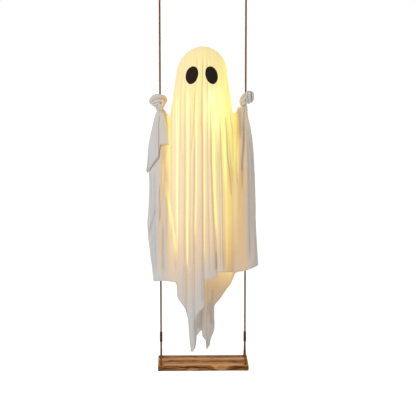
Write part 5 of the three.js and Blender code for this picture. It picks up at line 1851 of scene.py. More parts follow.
@dataclass
class Gown:
    """The gown: one cloth from the crown over both arms down to its torn hem."""

    material: Material
    shape: GownShape = field(default_factory=GownShape)
    glow: LampGlow = field(default_factory=LampGlow)
    front_columns: int = 168
    back_columns: int = 92
    drape_columns: int = 58
    row_height: float = 7.5
    lowest: float = 1290.0
    crown_rows: int = 12
    level_after: float = 150.0
    seam_smoothing: int = 90
    thickness: float = 0.9
    wrinkle: float = 0.9
    inside_lift: float = 0.24
    plate_dim: float = 0.12
    blotch: float = 0.12
    ray_depth: float = 1.1
    edge_dim: float = 0.16
    hem_width: float = 5.0
    fold_growth: Table = (
        (250, 0.3), (365, 0.35), (477, 0.7), (900, 1.1), (1000, 0.9), (1290, 0.6),
    )
    inside_light: Table = (
        (930, 0), (985, 1), (1015, 0.85), (1060, 0.4), (1120, 0.1), (1180, 0),
    )

    def ring(self) -> list[tuple[Face | Side, float]]:
        """The columns of one ring round the gown: front, right drape, back, left drape.

        Returns:
            Pairs of what a column belongs to and its place there.
        """
        columns = [(Face.FRONT, t) for t in np.linspace(-1, 1, self.front_columns + 1)]
        columns += [(Side.RIGHT, a) for a in np.linspace(-1, 1, self.drape_columns + 1)[1:-1]]
        columns += [(Face.BACK, t) for t in np.linspace(1, -1, self.back_columns + 1)]
        columns += [(Side.LEFT, a) for a in np.linspace(1, -1, self.drape_columns + 1)[1:-1]]
        return columns

    def notch_line(self, turn: float) -> float:
        """The drop of the line between the two notches."""
        notches = self.shape.notch(Side.LEFT), self.shape.notch(Side.RIGHT)
        return mix(*notches, rising(turn, -1, 2))

    def body_grid(self) -> np.ndarray:
        """The places below the notches, row by row.

        Returns:
            An array of rows, columns and coordinates.
        """
        shape, first = self.shape, self.shape.notch(Side.LEFT)
        level = np.arange(first, self.lowest, self.row_height)
        parts = []
        for owner, place in self.ring():
            if isinstance(owner, Face):
                start, find = self.notch_line(place), shape.panel_place
            else:
                start, find = float(shape.drape_top(owner, place)[2]), shape.drape_place
            drop = level + (start - first) * (1 - rising(level, first, self.level_after))
            parts.append(find(owner, np.full_like(drop, place), drop))
        return self.soften_seams(np.stack(parts, axis=1))

    def soften_seams(self, grid: np.ndarray) -> np.ndarray:
        """Rounds the corners where the drapes join the panels.

        Args:
            grid: The body's places.

        Returns:
            The softened places.
        """
        kinds = [owner for owner, _ in self.ring()]
        seams = [i for i in range(len(kinds)) if kinds[i] != kinds[i - 1]]
        seams = [i if isinstance(kinds[i], Face) else i - 1 for i in seams]
        index = np.arange(len(kinds))
        weight = np.zeros(len(kinds))
        for seam in seams:
            away = np.minimum(abs(index - seam), len(kinds) - abs(index - seam))
            weight = np.maximum(weight, bell(away, 0, 12.0))
        rows = np.arange(grid.shape[0])[:, None]
        weight = weight[None] * rising(rows, 1, 14.0)
        level = grid.copy()
        for _ in range(self.seam_smoothing):
            near = (np.roll(level, 1, axis=1) + np.roll(level, -1, axis=1)) / 2
            level[..., :2] = mix(level, near, 0.5 * weight[..., None])[..., :2]
        return level

    def hood_grid(self) -> np.ndarray:
        """The places above the notches, row by row below the crown's top.

        Returns:
            An array of rows, columns and coordinates.
        """
        shape = self.shape
        crown_end = shape.hood_top + shape.crown_height
        swing = np.linspace(0, math.pi / 2, self.crown_rows + 1)[1:]
        crown = shape.hood_top + shape.crown_height * (1 - np.cos(swing))
        rows = int(round((shape.notch(Side.LEFT) - crown_end) / self.row_height))
        parts = []
        for owner, turn in self.ring():
            if isinstance(owner, Face):
                straight = np.linspace(crown_end, self.notch_line(turn), rows + 1)[1:]
                drop = np.concatenate([crown, straight])
                parts.append(shape.panel_place(owner, np.full_like(drop, turn), drop))
        return np.stack(parts, axis=1)

    def quads(self, rows: int, columns: int) -> np.ndarray:
        """The quads of a grid that closes round.

        Args:
            rows: Its rows.
            columns: Its columns.

        Returns:
            The quads.
        """
        i, j = np.meshgrid(np.arange(rows - 1), np.arange(columns), indexing="ij")
        k = (j + 1) % columns
        corners = ((i, j), (i + 1, j), (i + 1, k), (i, k))
        return np.stack([(row * columns + at).ravel() for row, at in corners], axis=1)

    def base_sheet(self) -> Object:
        """The cloth without its folds, cut at the hem and welded.

        Returns:
            The sheet.
        """
        body, hood = self.body_grid(), self.hood_grid()
        below, above = (self.quads(*grid.shape[:2]) for grid in (body, hood))
        faces = np.vstack([below, above + body.shape[0] * body.shape[1]])
        places = np.vstack([body.reshape(-1, 3), hood.reshape(-1, 3)])
        places, kept = cut_below(places, faces, self.above_hem(places))
        pole = (self.shape.lean(self.shape.hood_top), 0, -self.shape.hood_top)
        first_row = (abs(places[:, 2] - hood[0, 0, 2]) < 1e-6) & (places[:, 2] > -300)
        around = np.arctan2(places[:, 1], places[:, 0] - pole[0])
        ring = sorted(np.flatnonzero(first_row), key=around.__getitem__)
        kept += [(len(places), a, b) for a, b in zip(ring, ring[1:] + ring[:1])]
        sheet = mesh_piece("ghost_gown", np.vstack([places, [pole]]), kept)
        weld(sheet)
        return sheet

    def above_hem(self, places: np.ndarray) -> np.ndarray:
        """How far places are above the hem, in millimetres: below 0 where the cloth has ended."""
        lines = (above_line(places[:, 0], -places[:, 2], hem) for hem in (FRONT_HEM, BACK_HEM))
        return mix(*lines, np.clip(0.5 + places[:, 1] / 24, 0, 1))

    def plates(self, across: np.ndarray, drop: np.ndarray) -> np.ndarray:
        """How much painted shade the flat strips between the grooves get towards their right edges.

        Args:
            across: Places across.
            drop: Drops.

        Returns:
            A share of light to take away.
        """
        lines = [look_up(fold.path, drop) for fold in FRONT_FOLDS[:6]]
        lines.append(lines[-1] + 34)
        shade = np.zeros_like(across)
        for left, right in zip(lines[:-1], lines[1:]):
            share = (across - left) / (right - left)
            shade = np.where((share >= 0) & (share < 1), share**2.5, shade)
        return shade * rising(drop, 420, 120)

    def fold_layers(
        self, across: np.ndarray, drop: np.ndarray, back: np.ndarray
    ) -> list[np.ndarray]:
        """What the folds of both panels do at each point.

        Args:
            across: Places across.
            drop: Drops.
            back: From 0 on the front to 1 on the back.

        Returns:
            The push outwards, the light, the painted shade, the painted shade line along the edges, the
            yellow and the amber.
        """
        growth = look_up(self.fold_growth, drop)
        panels = []
        for folds in (FRONT_FOLDS, BACK_FOLDS):
            out, *most = [np.zeros_like(drop) for _ in range(6)]
            for fold in folds:
                deep, shown, line = fold.strength(across, drop)
                out -= deep * fold.depth * growth
                lit, dark = shown * fold.glow, shown * fold.dark
                marks = (lit, dark, line, shown * fold.yellow, shown * fold.amber)
                for held, mark in zip(most, marks):
                    np.maximum(held, mark, out=held)
            panels.append((out, *most))
        return [mix(front, rear, back) for front, rear in zip(*panels)]

    def creases(self, across: np.ndarray, drop: np.ndarray, back: np.ndarray) -> np.ndarray:
        """The small random wrinkles of the cloth.

        Args:
            across: Places across.
            drop: Drops.
            back: From 0 on the front to 1 on the back.

        Returns:
            The push outwards.
        """
        long = ripple(across, drop, 17.0, 150.0, 5.1) * rising(drop, 300, 200)
        short = ripple(across + 700 * np.round(back), drop, 8.0, 70.0, 9.4) * rising(drop, 420, 200)
        return self.wrinkle * (long + 0.5 * short)

    def fold_values(self, base: np.ndarray) -> dict[str, np.ndarray]:
        """What the folds and the lamp do at each point.

        Args:
            base: The points before folding.

        Returns:
            Arrays by name: out, glow, amber, yellow and crease, which is painted shade.
        """
        across, drop = base[:, 0] + self.shape.lean_most, -base[:, 2]
        back = np.clip(0.5 + base[:, 1] / 30, 0, 1)
        layers = self.fold_layers(across, drop, back)
        out, lit, dark, edge, fold_yellow, fold_amber = layers
        light, amber, yellow = self.glow.on_panel(across, drop)
        light = light * (1 - self.plate_dim * self.plates(across, drop) * (1 - back))
        # Painted light: fine random streaks in the lamp's glow
        light = light * (1 + self.blotch * ripple(across, drop, 4.5, 190.0, 6.1))
        light = mix(light, look_up(self.glow.inside_the_back, drop), back)
        amber = mix(amber, 0.0, back)
        for side in Side:
            notch, neck = self.shape.notch(side), self.shape.neck(side)
            share = self.shape.drape_share(side, base[:, 0], drop)
            found = self.glow.on_drape(side, share, drop)
            on_drape = rising(share, -0.06, 0.1) * (drop > neck)
            light, amber, yellow = (
                mix(panel, drape, on_drape) for panel, drape in zip((light, amber, yellow), found)
            )
            ray = np.sin(share * 19.0) * bell(drop, neck + 70, 75)
            out += self.ray_depth * ray * on_drape * rising(drop, notch, 40)
        lamp_lit = rising(light, 0.05, 0.2)
        # Painted shade: the fold edge lines dim the light and tint it amber, and with the folds' dark
        # they make the crease value.
        light = light + lit - self.edge_dim * edge * lamp_lit
        amber = np.maximum(np.maximum(amber, fold_amber), 0.75 * edge)
        yellow = np.maximum(yellow * (1 - 0.9 * np.maximum(edge, fold_amber)), fold_yellow)
        return {
            "out": out + self.creases(across, drop, back),
            "glow": np.clip(light, 0, 1),
            "amber": np.clip(amber, 0, 1),
            "yellow": np.clip(yellow * (1 - 0.8 * back), 0, 1),
            "crease": np.clip(np.maximum(dark, 0.13 * edge), 0, 1),
        }

    def calm(self, base: np.ndarray) -> np.ndarray:
        """How freely the cloth folds: not at all at the notches and in the hands.

        Args:
            base: The points before folding.

        Returns:
            Shares from 0 to 1.
        """
        free = np.ones(len(base))
        for side in Side:
            notch, neck = self.shape.notch(side), self.shape.neck(side)
            arm = (side.value * self.shape.seam_reach(side, notch), 0, -notch)
            hand = (side.value * self.shape.rope_reach, 0, -neck)
            free *= rising(np.linalg.norm(base - arm, axis=1), 0, 30)
            free *= rising(np.linalg.norm(base - hand, axis=1), 8, 30)
        return free

    def make(self) -> Object:
        """Returns:
            The gown.
        """
        gown = self.base_sheet()
        base, normal = points_of(gown)
        values = self.fold_values(base)
        move_points(gown, base + normal * (values["out"] * self.calm(base))[:, None])
        for name in ("glow", "amber", "yellow", "crease"):
            give_values(gown, name, values[name])
        give_values(gown, "hem", np.clip(1 - self.above_hem(base) / self.hem_width, 0, 1))
        thicken(gown, self.thickness)
        self.light_inside(gown, values["glow"])
        nodes = ("gown_front", "gown_back", "side_drape_left", "side_drape_right")
        finish_piece(gown, self.material, "gown_cloth", *nodes)
        return gown

    def light_inside(self, gown: Object, outside: np.ndarray) -> None:
        """Lights the gown's inner face more than its outer one, above its open hem.

        Args:
            gown: The gown, with its inner points after its outer ones.
            outside: The light of its outer points.
        """
        places, _ = points_of(gown)
        inner = np.arange(len(places)) >= len(outside)
        low = self.inside_lift * look_up(self.inside_light, -places[:, 2])
        to_right = mix(0.75, 1.25, rising(places[:, 0], 10, 90))
        glow = np.resize(outside, len(places))
        give_values(gown, "glow", np.clip(glow + inner * low * to_right, 0, 1))


@dataclass
class SleeveFlap:
    """The sleeve's loose end, folded over the front of the left drape."""

    material: Material
    shape: GownShape = field(default_factory=GownShape)
    columns: int = 90
    rows: int = 70
    tip_drop: float = 661.0
    fold_drop: float = 603.0
    cuff_drop: float = 564.0
    beyond_rope: float = 48.0
    fold_beyond: float = 4.0
    inside_rope: float = 37.0
    neck_inside: float = 8.0
    lift: float = 6.2
    seat_lift: float = 3.0
    crease_depth: float = 2.6
    wave: float = 0.9
    fold_share: float = 0.6
    crease_share: float = 0.592
    thickness: float = 0.9

    def place(self, across: np.ndarray, down: np.ndarray) -> np.ndarray:
        """Places on the flap.

        Args:
            across: From 0 at its outer edge to 1 at its inner edge.
            down: From 0 in the hand to 1 at its hem.

        Returns:
            The places.
        """
        shape, tip, cuff = self.shape, self.tip_drop, self.cuff_drop
        hem = (
            (0, tip - 6), (0.07, tip), (0.12, tip - 4), (0.2, tip - 20), (0.38, tip - 42),
            (0.58, self.fold_drop), (0.64, cuff), (1, cuff),
        )
        start = shape.neck(Side.LEFT) + shape.neck_radius
        drop = mix(start, look_up(hem, across), down)
        widen = np.clip((drop - start) / (tip - start), 0, 1)
        edge = shape.outer_edge(Side.LEFT, drop)
        outer = mix(edge + 0.3, shape.rope_reach + self.beyond_rope, widen**3)
        fold = shape.rope_reach + self.fold_beyond * ease(widen * 5)
        inner = shape.rope_reach - mix(self.neck_inside, self.inside_rope, np.sqrt(widen))
        reach = np.where(
            across < self.fold_share,
            mix(outer, fold, across / self.fold_share),
            mix(fold, inner, (across - self.fold_share) / (1 - self.fold_share)),
        )
        seam = shape.seam_reach(Side.LEFT, drop)
        share = np.clip((reach - seam) / (edge - seam), 0, 1)
        spread = rising(drop, shape.neck(Side.LEFT), shape.gather)
        depth = mix(shape.neck_radius, shape.edge_depth(Side.LEFT, drop), spread)
        depth = depth * np.sqrt(1 - share**2) + mix(self.seat_lift, self.lift, ease(down * 2))
        crease = self.crease_depth * bell(across, self.crease_share, 0.02) * ease(down * 6)
        outside = ease(down * 2) * (across < self.fold_share)
        waves = self.wave * np.sin(across * 21 + 1.0) * outside
        return np.stack([-reach, -(depth - crease + waves), -drop], axis=-1)

    def light(self, flap: Object, share: np.ndarray, down: np.ndarray) -> None:
        """Stores on the flap the lamp's light, painted as glow, a dark amber line of painted shade along
        its fold, and a painted lit band with a little painted shade along its hem.

        Args:
            flap: The flap.
            share: Each point's place from the outer to the inner edge.
            down: Each point's place from the hand to the hem.
        """
        inside = share > self.fold_share
        wing = falling(share, self.fold_share, 0.04)
        hem = np.clip((down - mix(0.965, 0.94, wing)) / 0.012, 0, 1)
        # Painted shade along the fold line, and painted light with a little shade along the hem
        line = bell(share, self.crease_share, 0.016) * ease(down * 9)
        glow = np.where(inside, 0.06 + 0.12 * rising(share, 0.93, 0.07), 0.0)
        give_values(flap, "glow", glow + 0.10 * hem + 0.12 * line)
        give_values(flap, "amber", np.maximum(np.where(inside, 0.3, 0.2), line))
        give_values(flap, "yellow", np.zeros(len(share)))
        give_values(flap, "crease", np.clip(1.1 * line + 0.12 * hem * wing, 0, 1))
        give_values(flap, "hem", hem)

    def make(self) -> None:
        shares = (np.linspace(0, 1, count + 1) for count in (self.columns, self.rows))
        across, down = np.meshgrid(*shares, indexing="ij")
        places = self.place(across, down).reshape(-1, 3)
        step = self.rows + 1
        i, j = np.meshgrid(np.arange(self.columns), np.arange(self.rows), indexing="ij")
        first = (i * step + j).ravel()
        faces = np.stack([first, first + 1, first + step + 1, first + step], axis=1)
        flap = mesh_piece("sleeve_end", places, faces)
        self.light(flap, across.ravel(), down.ravel())
        thicken(flap, self.thickness)
        finish_piece(flap, self.material, "gown_cloth", "sleeve_flap")


def hollows(piece: Object, rounds: int, full: float) -> np.ndarray:
    """How deep each point lies in a groove of its piece.

    Args:
        piece: The piece.
        rounds: How far round it looks, in edges.
        full: The depth in millimetres that counts as 1.

    Returns:
        Shares from 0 to 1.
    """
    places, normal = points_of(piece)
    edges = piece.data.edges
    pairs = np.empty(len(edges) * 2, int)
    edges.foreach_get("vertices", pairs)
    pairs = pairs.reshape(-1, 2)
    near = np.bincount(pairs.ravel(), minlength=len(places))[:, None]
    level = places
    for _ in range(rounds):
        total = np.zeros_like(level)
        np.add.at(total, pairs[:, 0], level[pairs[:, 1]])
        np.add.at(total, pairs[:, 1], level[pairs[:, 0]])
        level = mix(level, total / near, 0.7)
    return np.clip(((level - places) * normal).sum(axis=1) / full, 0, 1)


def cylinder(radius: float, height: float, corners: int, place: Place) -> Object:
    """Makes an upright cylinder.

    Args:
        radius: Its radius, in millimetres.
        height: Its height, in millimetres.
        corners: Its number of corners.
        place: Its middle, in millimetres.

    Returns:
        The cylinder.
    """
    bpy.ops.object.select_all(action="DESELECT")
    bpy.ops.mesh.primitive_cylinder_add(
        vertices=corners,
        radius=radius * MM,
        depth=height * MM,
        location=[value * MM for value in place],
    )
    return bpy.context.object


@dataclass(frozen=True)
class Wrap:
    """A roll of cloth on a knot, along a line of points."""

    line: tuple[Place, ...]
    thick: float


@dataclass
class HandKnot:
    """Cloth knotted round the rope: the ghost's hand."""

    side: Side
    material: Material
    centre: Place
    core: Place
    wraps: tuple[Wrap, ...]
    # Painted light: a lamp-lit side and a faint glow all over. Painted shade: over the whole knot and
    # deeper in its grooves.
    warm_side: Place
    warm_reach: Place
    warm_light: float
    base_light: float
    base_crease: float
    neck_drop: float
    reach: float = ROPE_REACH
    voxel: float = 1.1
    bore: float = 3.35
    pocket: float = 8.8
    pocket_rise: float = 24.3
    groove_rounds: int = 12
    groove_depth: float = 0.45
    groove_dark: float = 0.78
    groove_light: float = 0.05
    warm_limit: float = 1.15

    def ball(self) -> Object:
        """The folded heart of the knot.

        Returns:
            The heart.
        """
        bpy.ops.object.select_all(action="DESELECT")
        bpy.ops.mesh.primitive_uv_sphere_add(
            segments=48, ring_count=24, radius=MM, location=[v * MM for v in self.centre]
        )
        ball = bpy.context.object
        ball.scale = self.core
        settle(ball)
        return ball

    def roll(self, wrap: Wrap) -> Object:
        """One roll of cloth on the knot.

        Args:
            wrap: Where it runs.

        Returns:
            The roll.
        """
        line = curve_through([(x, y, -drop) for x, y, drop in wrap.line], 1.0)
        angle = np.arange(20) * math.tau / 20
        along = np.linspace(0, math.pi, len(line))
        ends = np.sqrt(np.clip(np.sin(along) * 2.2, 0.05, 1))
        lumps = 1 + 0.05 * np.sin(along * 5 + wrap.thick)
        thick = (wrap.thick * ends * lumps)[:, None]
        creased = 1 + 0.05 * np.cos(5 * angle + 0.8)[None] * np.ones((len(line), 1))
        sections = np.stack([thick * creased * np.cos(angle), thick * creased * np.sin(angle)], axis=2)
        return swept_piece("roll", line, sections)

    def channel(self) -> Object:
        """The room for the rope and its clamp inside the knot.

        Returns:
            The room.
        """
        x, pocket_top = self.side.value * self.reach, -self.neck_drop + self.pocket_rise
        pocket = cylinder(self.pocket, 80.0, 32, (x, 0, pocket_top - 40))
        bore = cylinder(self.bore, 160.0, 24, (x, 0, pocket_top))
        modify(pocket, "BOOLEAN", operation="UNION", object=bore)
        apply_modifiers(pocket)
        bpy.data.objects.remove(bore)
        settle(pocket)
        return pocket

    def make(self) -> None:
        """Makes the knot."""
        parts = [self.ball(), *map(self.roll, self.wraps)]
        knot = join_pieces(f"knotted_hand_{self.side.word}", parts)
        modify(knot, "REMESH", mode="VOXEL", voxel_size=self.voxel * MM)
        modify(knot, "SMOOTH", factor=0.5, iterations=3)
        apply_modifiers(knot)
        channel = self.channel()
        modify(knot, "BOOLEAN", object=channel)
        apply_modifiers(knot)
        bpy.data.objects.remove(channel)
        smooth(knot, 50)
        places, _ = points_of(knot)
        # Painted light: the lamp's glow on one side and a little in the grooves. Painted shade: over the
        # whole knot and deeper in its grooves.
        away = (places - np.array(self.warm_side)) / self.warm_reach
        lit = ease(self.warm_limit - np.linalg.norm(away, axis=1))
        grooves = hollows(knot, self.groove_rounds, self.groove_depth)
        glow = self.warm_light * lit + self.base_light + self.groove_light * grooves
        give_values(knot, "glow", glow)
        give_values(knot, "amber", np.clip(0.45 * lit + 0.4, 0, 1))
        give_values(knot, "crease", np.clip(self.base_crease + self.groove_dark * grooves, 0, 1))
        for name in ("yellow", "hem"):
            give_values(knot, name, np.zeros(len(places)))
        finish_piece(knot, self.material, "gown_cloth", f"hand_knot_{self.side.word}")


@dataclass
class EyePatch:
    """An oval of felt on the front of the hood."""

    side: Side
    material: Material
    gown: Object
    half_width: float = 19.8
    half_height: float = 29.5
    apart: float = 64.0
    middle: float = -5.0
    drop: float = 331.5
    tilt_degrees: float = 17.0
    thickness: float = 1.3
    lift: float = 0.25
    spokes: int = 64
    rings: int = 12
    fuzz: float = 0.15
    rim_from: float = 0.9
    cloth_reach: float = 0.3

    def oval(self) -> list[Place]:
        """The points of the oval, ring by ring from its middle.

        Returns:
            For each its x, its drop and its share of the way to the rim.
        """
        tilt = -math.radians(self.tilt_degrees) * self.side.value
        centre = self.middle + self.side.value * self.apart / 2
        points = []
        for k in range(self.rings + 1):
            share = k / self.rings
            for s in range(1 if k == 0 else self.spokes):
                turn = s / self.spokes * math.tau
                wobble = 1 + 0.008 * math.sin(3 * turn + self.side.value) + 0.005 * math.sin(7 * turn)
                across = self.half_width * share * math.cos(turn) * wobble
                up = self.half_height * share * math.sin(turn) * wobble
                x = centre + across * math.cos(tilt) + up * math.sin(tilt)
                drop = self.drop - (up * math.cos(tilt) - across * math.sin(tilt))
                points.append((x, drop, share))
        return points

    def cloth_depth(self, x: float, drop: float) -> float:
        """How far in depth the cloth of the hood is.

        Args:
            x: A place across.
            drop: A drop.

        Returns:
            The depth of the cloth, or of the hood's plain form where there is none.
        """
        start = Vector((x * MM, -self.cloth_reach, -drop * MM))
        hit, where, _, _ = self.gown.ray_cast(start, Vector((0, 1, 0)))
        if hit:
            return where.y / MM
        surface = GownShape()
        off = x - float(surface.lean(drop))
        return -math.sqrt(max(1.0, float(surface.radius(drop)) ** 2 - off**2))

    def point(self, ring: int, spoke: int, layer: int) -> int:
        """The index of a point of the patch.

        Args:
            ring: Its ring, from 0 in the middle.
            spoke: Its spoke.
            layer: 0 on the face that is seen, 1 on the one that lies on the cloth.

        Returns:
            The index.
        """
        first = layer * (1 + self.rings * self.spokes)
        return first if ring == 0 else first + 1 + (ring - 1) * self.spokes + spoke % self.spokes

    def faces(self) -> list[tuple[int, ...]]:
        """The faces of the patch, spoke by spoke.

        Returns:
            The faces.
        """
        at, found, last = self.point, [], self.rings
        for s in range(self.spokes):
            found.append((at(0, 0, 0), at(1, s, 0), at(1, s + 1, 0)))
            found.append((at(0, 0, 1), at(1, s + 1, 1), at(1, s, 1)))
            for k in range(1, last):
                found.append((at(k, s, 0), at(k + 1, s, 0), at(k + 1, s + 1, 0), at(k, s + 1, 0)))
                found.append((at(k, s, 1), at(k, s + 1, 1), at(k + 1, s + 1, 1), at(k + 1, s, 1)))
            found.append((at(last, s, 0), at(last, s, 1), at(last, s + 1, 1), at(last, s + 1, 0)))
        return found

    def make(self) -> None:
        """Makes the patch on the cloth that is already there."""
        outer, inner = [], []
        for x, drop, share in self.oval():
            y = self.cloth_depth(x, drop) - self.lift
            past_rim = max(0.0, (share - self.rim_from) / (1 - self.rim_from))
            edge = self.thickness * math.sqrt(max(0.0, 1 - past_rim**2))
            outer.append((x, y - self.fuzz - edge, -drop))
            inner.append((x, y, -drop))
        patch = mesh_piece(f"felt_eye_{self.side.word}", outer + inner, self.faces())
        face_outwards(patch)
        smooth(patch, 60)
        finish_piece(patch, self.material, "eye_felt", f"eye_patch_{self.side.word}")


@dataclass
class SeatPlank:
    """The seat: a scorched pine plank with a flared hole for each rope leg."""

    material: Material
    length: float = 305.0
    depth: float = 150.0
    thickness: float = 19.0
    top_drop: float = SEAT_TOP
    long_round: float = 3.0
    end_round: float = 1.6
    hole_x: float = ROPE_REACH
    hole_y: float = 57.0
    hole_radius: float = 3.8
    hole_flare: float = 7.0
    overrun: float = 4.0
    voxel: float = 1.5
    grain_height: float = 0.35

    def block(self) -> Object:
        """The plank before it is bored, with its edges rounded.

        Returns:
            The plank.
        """
        middle = -(self.top_drop + self.thickness / 2)
        bpy.ops.object.select_all(action="DESELECT")
        bpy.ops.mesh.primitive_cube_add(size=MM, location=(0, 0, middle * MM))
        plank = bpy.context.object
        plank.scale = (self.length, self.depth, self.thickness)
        settle(plank)
        for along_x, width, segments in ((True, self.long_round, 4), (False, self.end_round, 3)):
            bpy.ops.object.mode_set(mode="EDIT")
            bpy.ops.mesh.select_mode(type="EDGE")
            bpy.ops.mesh.select_all(action="DESELECT")
            bpy.ops.object.mode_set(mode="OBJECT")
            for edge in plank.data.edges:
                a, b = (plank.data.vertices[i].co for i in edge.vertices)
                is_long = abs(a.x - b.x) > 0.9 * self.length * MM
                at_end = abs(a.x - b.x) < MM and abs(abs(a.x) - self.length / 2 * MM) < MM
                edge.select = is_long if along_x else at_end
            bpy.ops.object.mode_set(mode="EDIT")
            bpy.ops.mesh.bevel(offset=width * MM, segments=segments)
            bpy.ops.object.mode_set(mode="OBJECT")
        return plank

    def cutter(self, x: float, y: float) -> Object:
        """The shape that bores one hole: narrow in the middle, flared at both faces.

        Args:
            x: Where it is across.
            y: Where it is in depth.

        Returns:
            The cutter.
        """
        waist = self.thickness / 2 - self.hole_flare
        wide = self.hole_radius + self.hole_flare + self.overrun
        slope = wide - self.hole_radius
        middle = -(self.top_drop + self.thickness / 2)
        low = middle - self.thickness / 2 - self.overrun
        bpy.ops.object.select_all(action="DESELECT")
        bpy.ops.mesh.primitive_circle_add(
            vertices=40, radius=wide * MM, fill_type="NGON", location=(x * MM, y * MM, low * MM)
        )
        cutter = bpy.context.object
        settle(cutter)
        bpy.ops.object.mode_set(mode="EDIT")
        bpy.ops.mesh.select_all(action="SELECT")
        height = low
        narrow = self.hole_radius / wide
        for tall, share in ((slope, narrow), (2 * waist, 1), (slope, 1 / narrow)):
            height += tall
            bpy.ops.mesh.extrude_region_move(TRANSFORM_OT_translate={"value": (0, 0, tall * MM)})
            bpy.ops.transform.resize(
                value=(share, share, 1), center_override=(x * MM, y * MM, height * MM)
            )
        bpy.ops.object.mode_set(mode="OBJECT")
        face_outwards(cutter)
        return cutter

    def make(self) -> None:
        """Makes the plank."""
        plank = self.block()
        plank.name = plank.data.name = "seat_plank"
        cutters = [
            self.cutter(x, y)
            for x in (-self.hole_x, self.hole_x)
            for y in (-self.hole_y, self.hole_y)
        ]
        for cutter in cutters:
            modify(plank, "BOOLEAN", object=cutter)
        modify(plank, "REMESH", mode="VOXEL", voxel_size=self.voxel * MM)
        modify(plank, "SMOOTH", factor=0.5, iterations=2)
        apply_modifiers(plank)
        for cutter in cutters:
            bpy.data.objects.remove(cutter)
        self.brush_grain(plank)
        smooth(plank, 60)
        finish_piece(plank, self.material, "seat_wood", "seat_board")

    def brush_grain(self, plank: Object) -> None:
        """Sinks the soft grain a little, and notes which edges are worn.

        Args:
            plank: The plank.
        """
        places, normal = points_of(plank)
        middle = np.array((0, 0, -(self.top_drop + self.thickness / 2)))
        rough = ripple(places[:, 0], places[:, 1] + 2 * places[:, 2], 60.0, 5.0, 4.2)
        sunk = self.grain_height * (0.5 + 0.5 * rough)
        move_points(plank, places - normal * sunk[:, None])
        half = np.array((self.length, self.depth, self.thickness)) / 2
        far = np.sort(half - np.abs(places - middle), axis=1)
        patchy = 0.5 + 0.5 * ripple(places[:, 0], places[:, 1], 30.0, 30.0, 7.7)
        give_values(plank, "worn", np.clip(1 - far[:, 1] / 3.0, 0, 1) * patchy)


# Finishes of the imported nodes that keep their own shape
NODE_FINISHES = {
    finish.name: finish
    for finish in (
        MadeFinish("plate_paint", (0.72, 0.72, 0.70), (0.80, 0.80, 0.78), (0.32, 0.5), 0.0, 1400),
        MadeFinish("steel", (0.50, 0.50, 0.52), (0.64, 0.64, 0.66), (0.24, 0.42), 1.0, 700),
        # The head form's glow is painted light from the lamp within.
        MadeFinish(
            "form_plastic", (0.82, 0.78, 0.70), (0.88, 0.85, 0.78), (0.4, 0.55),
            0.0, 900, 0.03, 0.25,
        ),
        MadeFinish(
            "housing_plastic", (0.70, 0.68, 0.62), (0.76, 0.74, 0.69), (0.45, 0.6),
            0.0, 1600, 0.05,
        ),
        MadeFinish("gear_plastic", (0.66, 0.62, 0.52), (0.74, 0.70, 0.60), (0.35, 0.5)),
        MadeFinish("cell_wrap", (0.10, 0.13, 0.18), (0.16, 0.20, 0.27), (0.2, 0.35), 0.3, 500),
        MadeFinish("board_green", (0.03, 0.15, 0.07), (0.06, 0.24, 0.11), (0.3, 0.5), 0.0, 500, 0.08),
        MadeFinish(
            "lamp_glass", (1.0, 0.72, 0.36), (1.0, 0.84, 0.52), (0.15, 0.25),
            0.0, 400, 0.01, 1.4,
        ),
        MadeFinish("lead_rubber", (0.22, 0.022, 0.018), (0.32, 0.04, 0.03), (0.5, 0.65)),
        MadeFinish("switch_plastic", (0.022, 0.022, 0.026), (0.045, 0.045, 0.05), (0.4, 0.6)),
    )
}


def dress_nodes(effects: EffectSet) -> None:
    """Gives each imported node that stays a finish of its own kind.

    Args:
        effects: The shader effects.
    """
    made = {}
    for name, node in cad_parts.items():
        slot = node.material_slots[0].material.name.split(".")[0]
        if slot not in NODE_FINISHES:
            continue
        if slot not in made:
            made[slot] = NODE_FINISHES[slot].make(effects)
        node.material_slots[0].material = made[slot]
        LOG.info("%s: %s", name, made[slot].name)


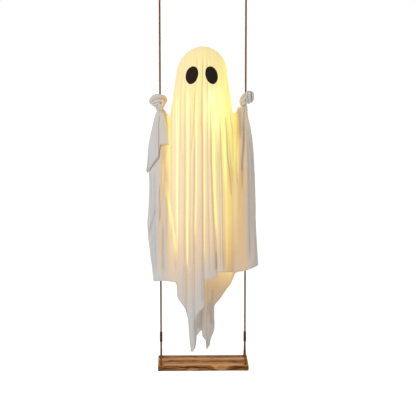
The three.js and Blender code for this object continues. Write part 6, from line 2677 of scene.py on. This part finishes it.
def make_knots(cloth: Material) -> None:
    """Makes both knotted hands.

    Args:
        cloth: The cloth's material.
    """
    HandKnot(
        Side.LEFT,
        cloth,
        centre=(-149.0, 1.0, -420.0),
        core=(22.5, 13.0, 14.5),
        wraps=(
            Wrap(
                ((-170, 0, 432), (-171, -8, 420), (-161, -13, 409), (-147, -14, 405.5), (-132, -10, 409),
                 (-126, -1, 419), (-130, 7, 431)),
                8.0,
            ),
            Wrap(
                ((-171, -5, 432), (-165, -13, 426), (-153, -17.5, 420), (-142, -18, 419),
                 (-134, -15, 422)),
                5.6,
            ),
            Wrap(((-168, -7, 433), (-158, -15, 431), (-148, -18, 427), (-141, -17, 425)), 5.4),
            Wrap(((-161, -9, 436), (-153, -14, 437), (-145, -16, 434)), 5.2),
            Wrap(((-157, -12, 424), (-149, -16.5, 429), (-141, -17, 434), (-136, -14, 440)), 5.2),
            Wrap(((-155, -12, 431), (-147, -16, 435), (-141, -15, 443), (-141, -12, 451)), 5.2),
            Wrap(((-151, -11, 438), (-147, -12, 444), (-144, -11, 452)), 5.0),
            Wrap(
                ((-139, -14, 416), (-133, -18, 420), (-132, -17, 429), (-137, -15, 440),
                 (-141, -12, 451)),
                6.0,
            ),
            Wrap(
                ((-129, -7, 414), (-127, -8, 424), (-131, -9, 434), (-137, -9, 444), (-141, -8, 452)),
                5.6,
            ),
            Wrap(((-147, -13, 423), (-142, -14, 427), (-138, -13, 432)), 5.4),
            Wrap(((-152, -2, 434), (-147, -2, 446), (-144, 0, 460)), 8.4),
            Wrap(((-141, 3, 430), (-141, 2, 448), (-142, 1, 462)), 10.2),
        ),
        warm_side=(-128.0, -10.0, -427.0),
        warm_reach=(22.0, 20.0, 30.0),
        warm_light=0.31,
        base_light=0.055,
        base_crease=0.03,
        neck_drop=449.0,
    ).make()
    HandKnot(
        Side.RIGHT,
        cloth,
        centre=(154.5, 0.0, -408.0),
        core=(12.8, 13.0, 20.5),
        wraps=(
            Wrap(
                ((151, -5, 389), (145, -11, 397), (144, -13, 410), (149, -11, 424), (155, -6, 430)),
                5.2,
            ),
            Wrap(((156, -8, 388), (154, -13, 399), (155, -13.5, 414), (158, -9, 427)), 5.0),
            Wrap(((160, -4, 389), (164, -7, 400), (164.5, -7, 414), (160, -5, 427)), 4.8),
            Wrap(
                ((146, -8, 398), (136, -11, 402), (128.5, -12, 412), (126, -11, 425), (131, -9, 440)),
                5.6,
            ),
            Wrap(((147, -13, 408), (139, -15, 411), (134.5, -15, 421), (136, -12, 434)), 5.8),
            Wrap(((148, -14, 423), (140, -15, 427), (132, -13, 434)), 4.8),
            Wrap(((143, 2, 408), (139, 0, 424), (139, 0, 440), (140, 0, 455)), 9.4),
        ),
        warm_side=(127.0, -10.0, -416.0),
        warm_reach=(11.0, 14.0, 17.0),
        warm_light=0.36,
        base_light=0.04,
        base_crease=0.12,
        neck_drop=441.0,
    ).make()


def main() -> None:
    """Builds the camera, the ropes and the rest, in that order."""
    bpy.context.scene.view_settings.view_transform = "Standard"
    PhotoView().make()
    effects = EffectSet()
    rope = CordFinish("rope_fibre", (0.072, 0.022, 0.004), (0.32, 0.125, 0.030)).make(effects)
    twine = CordFinish("rope_binding", (0.040, 0.022, 0.014), (0.12, 0.070, 0.045), 0.15).make(effects)
    for side in Side:
        SwingRope(side, rope).make()
        for end, drop, height, turns in (("top", 66.0, 22.0, 16), ("low", 1205.0, 35.0, 26)):
            names = f"{end}_winding_{side.word}", f"{end}_binding_{side.word}"
            TwineBinding(*names, side, drop, height, turns, twine).make()
    cloth = ClothFinish().make(effects)
    gown = Gown(cloth).make()
    SleeveFlap(cloth).make()
    make_knots(cloth)
    felt = FeltFinish().make(effects)
    for side in Side:
        EyePatch(side, felt, gown).make()
    SeatPlank(BurntWoodFinish().make(effects)).make()
    dress_nodes(effects)
    Studio().make()


if __name__ == "__main__":
    main()
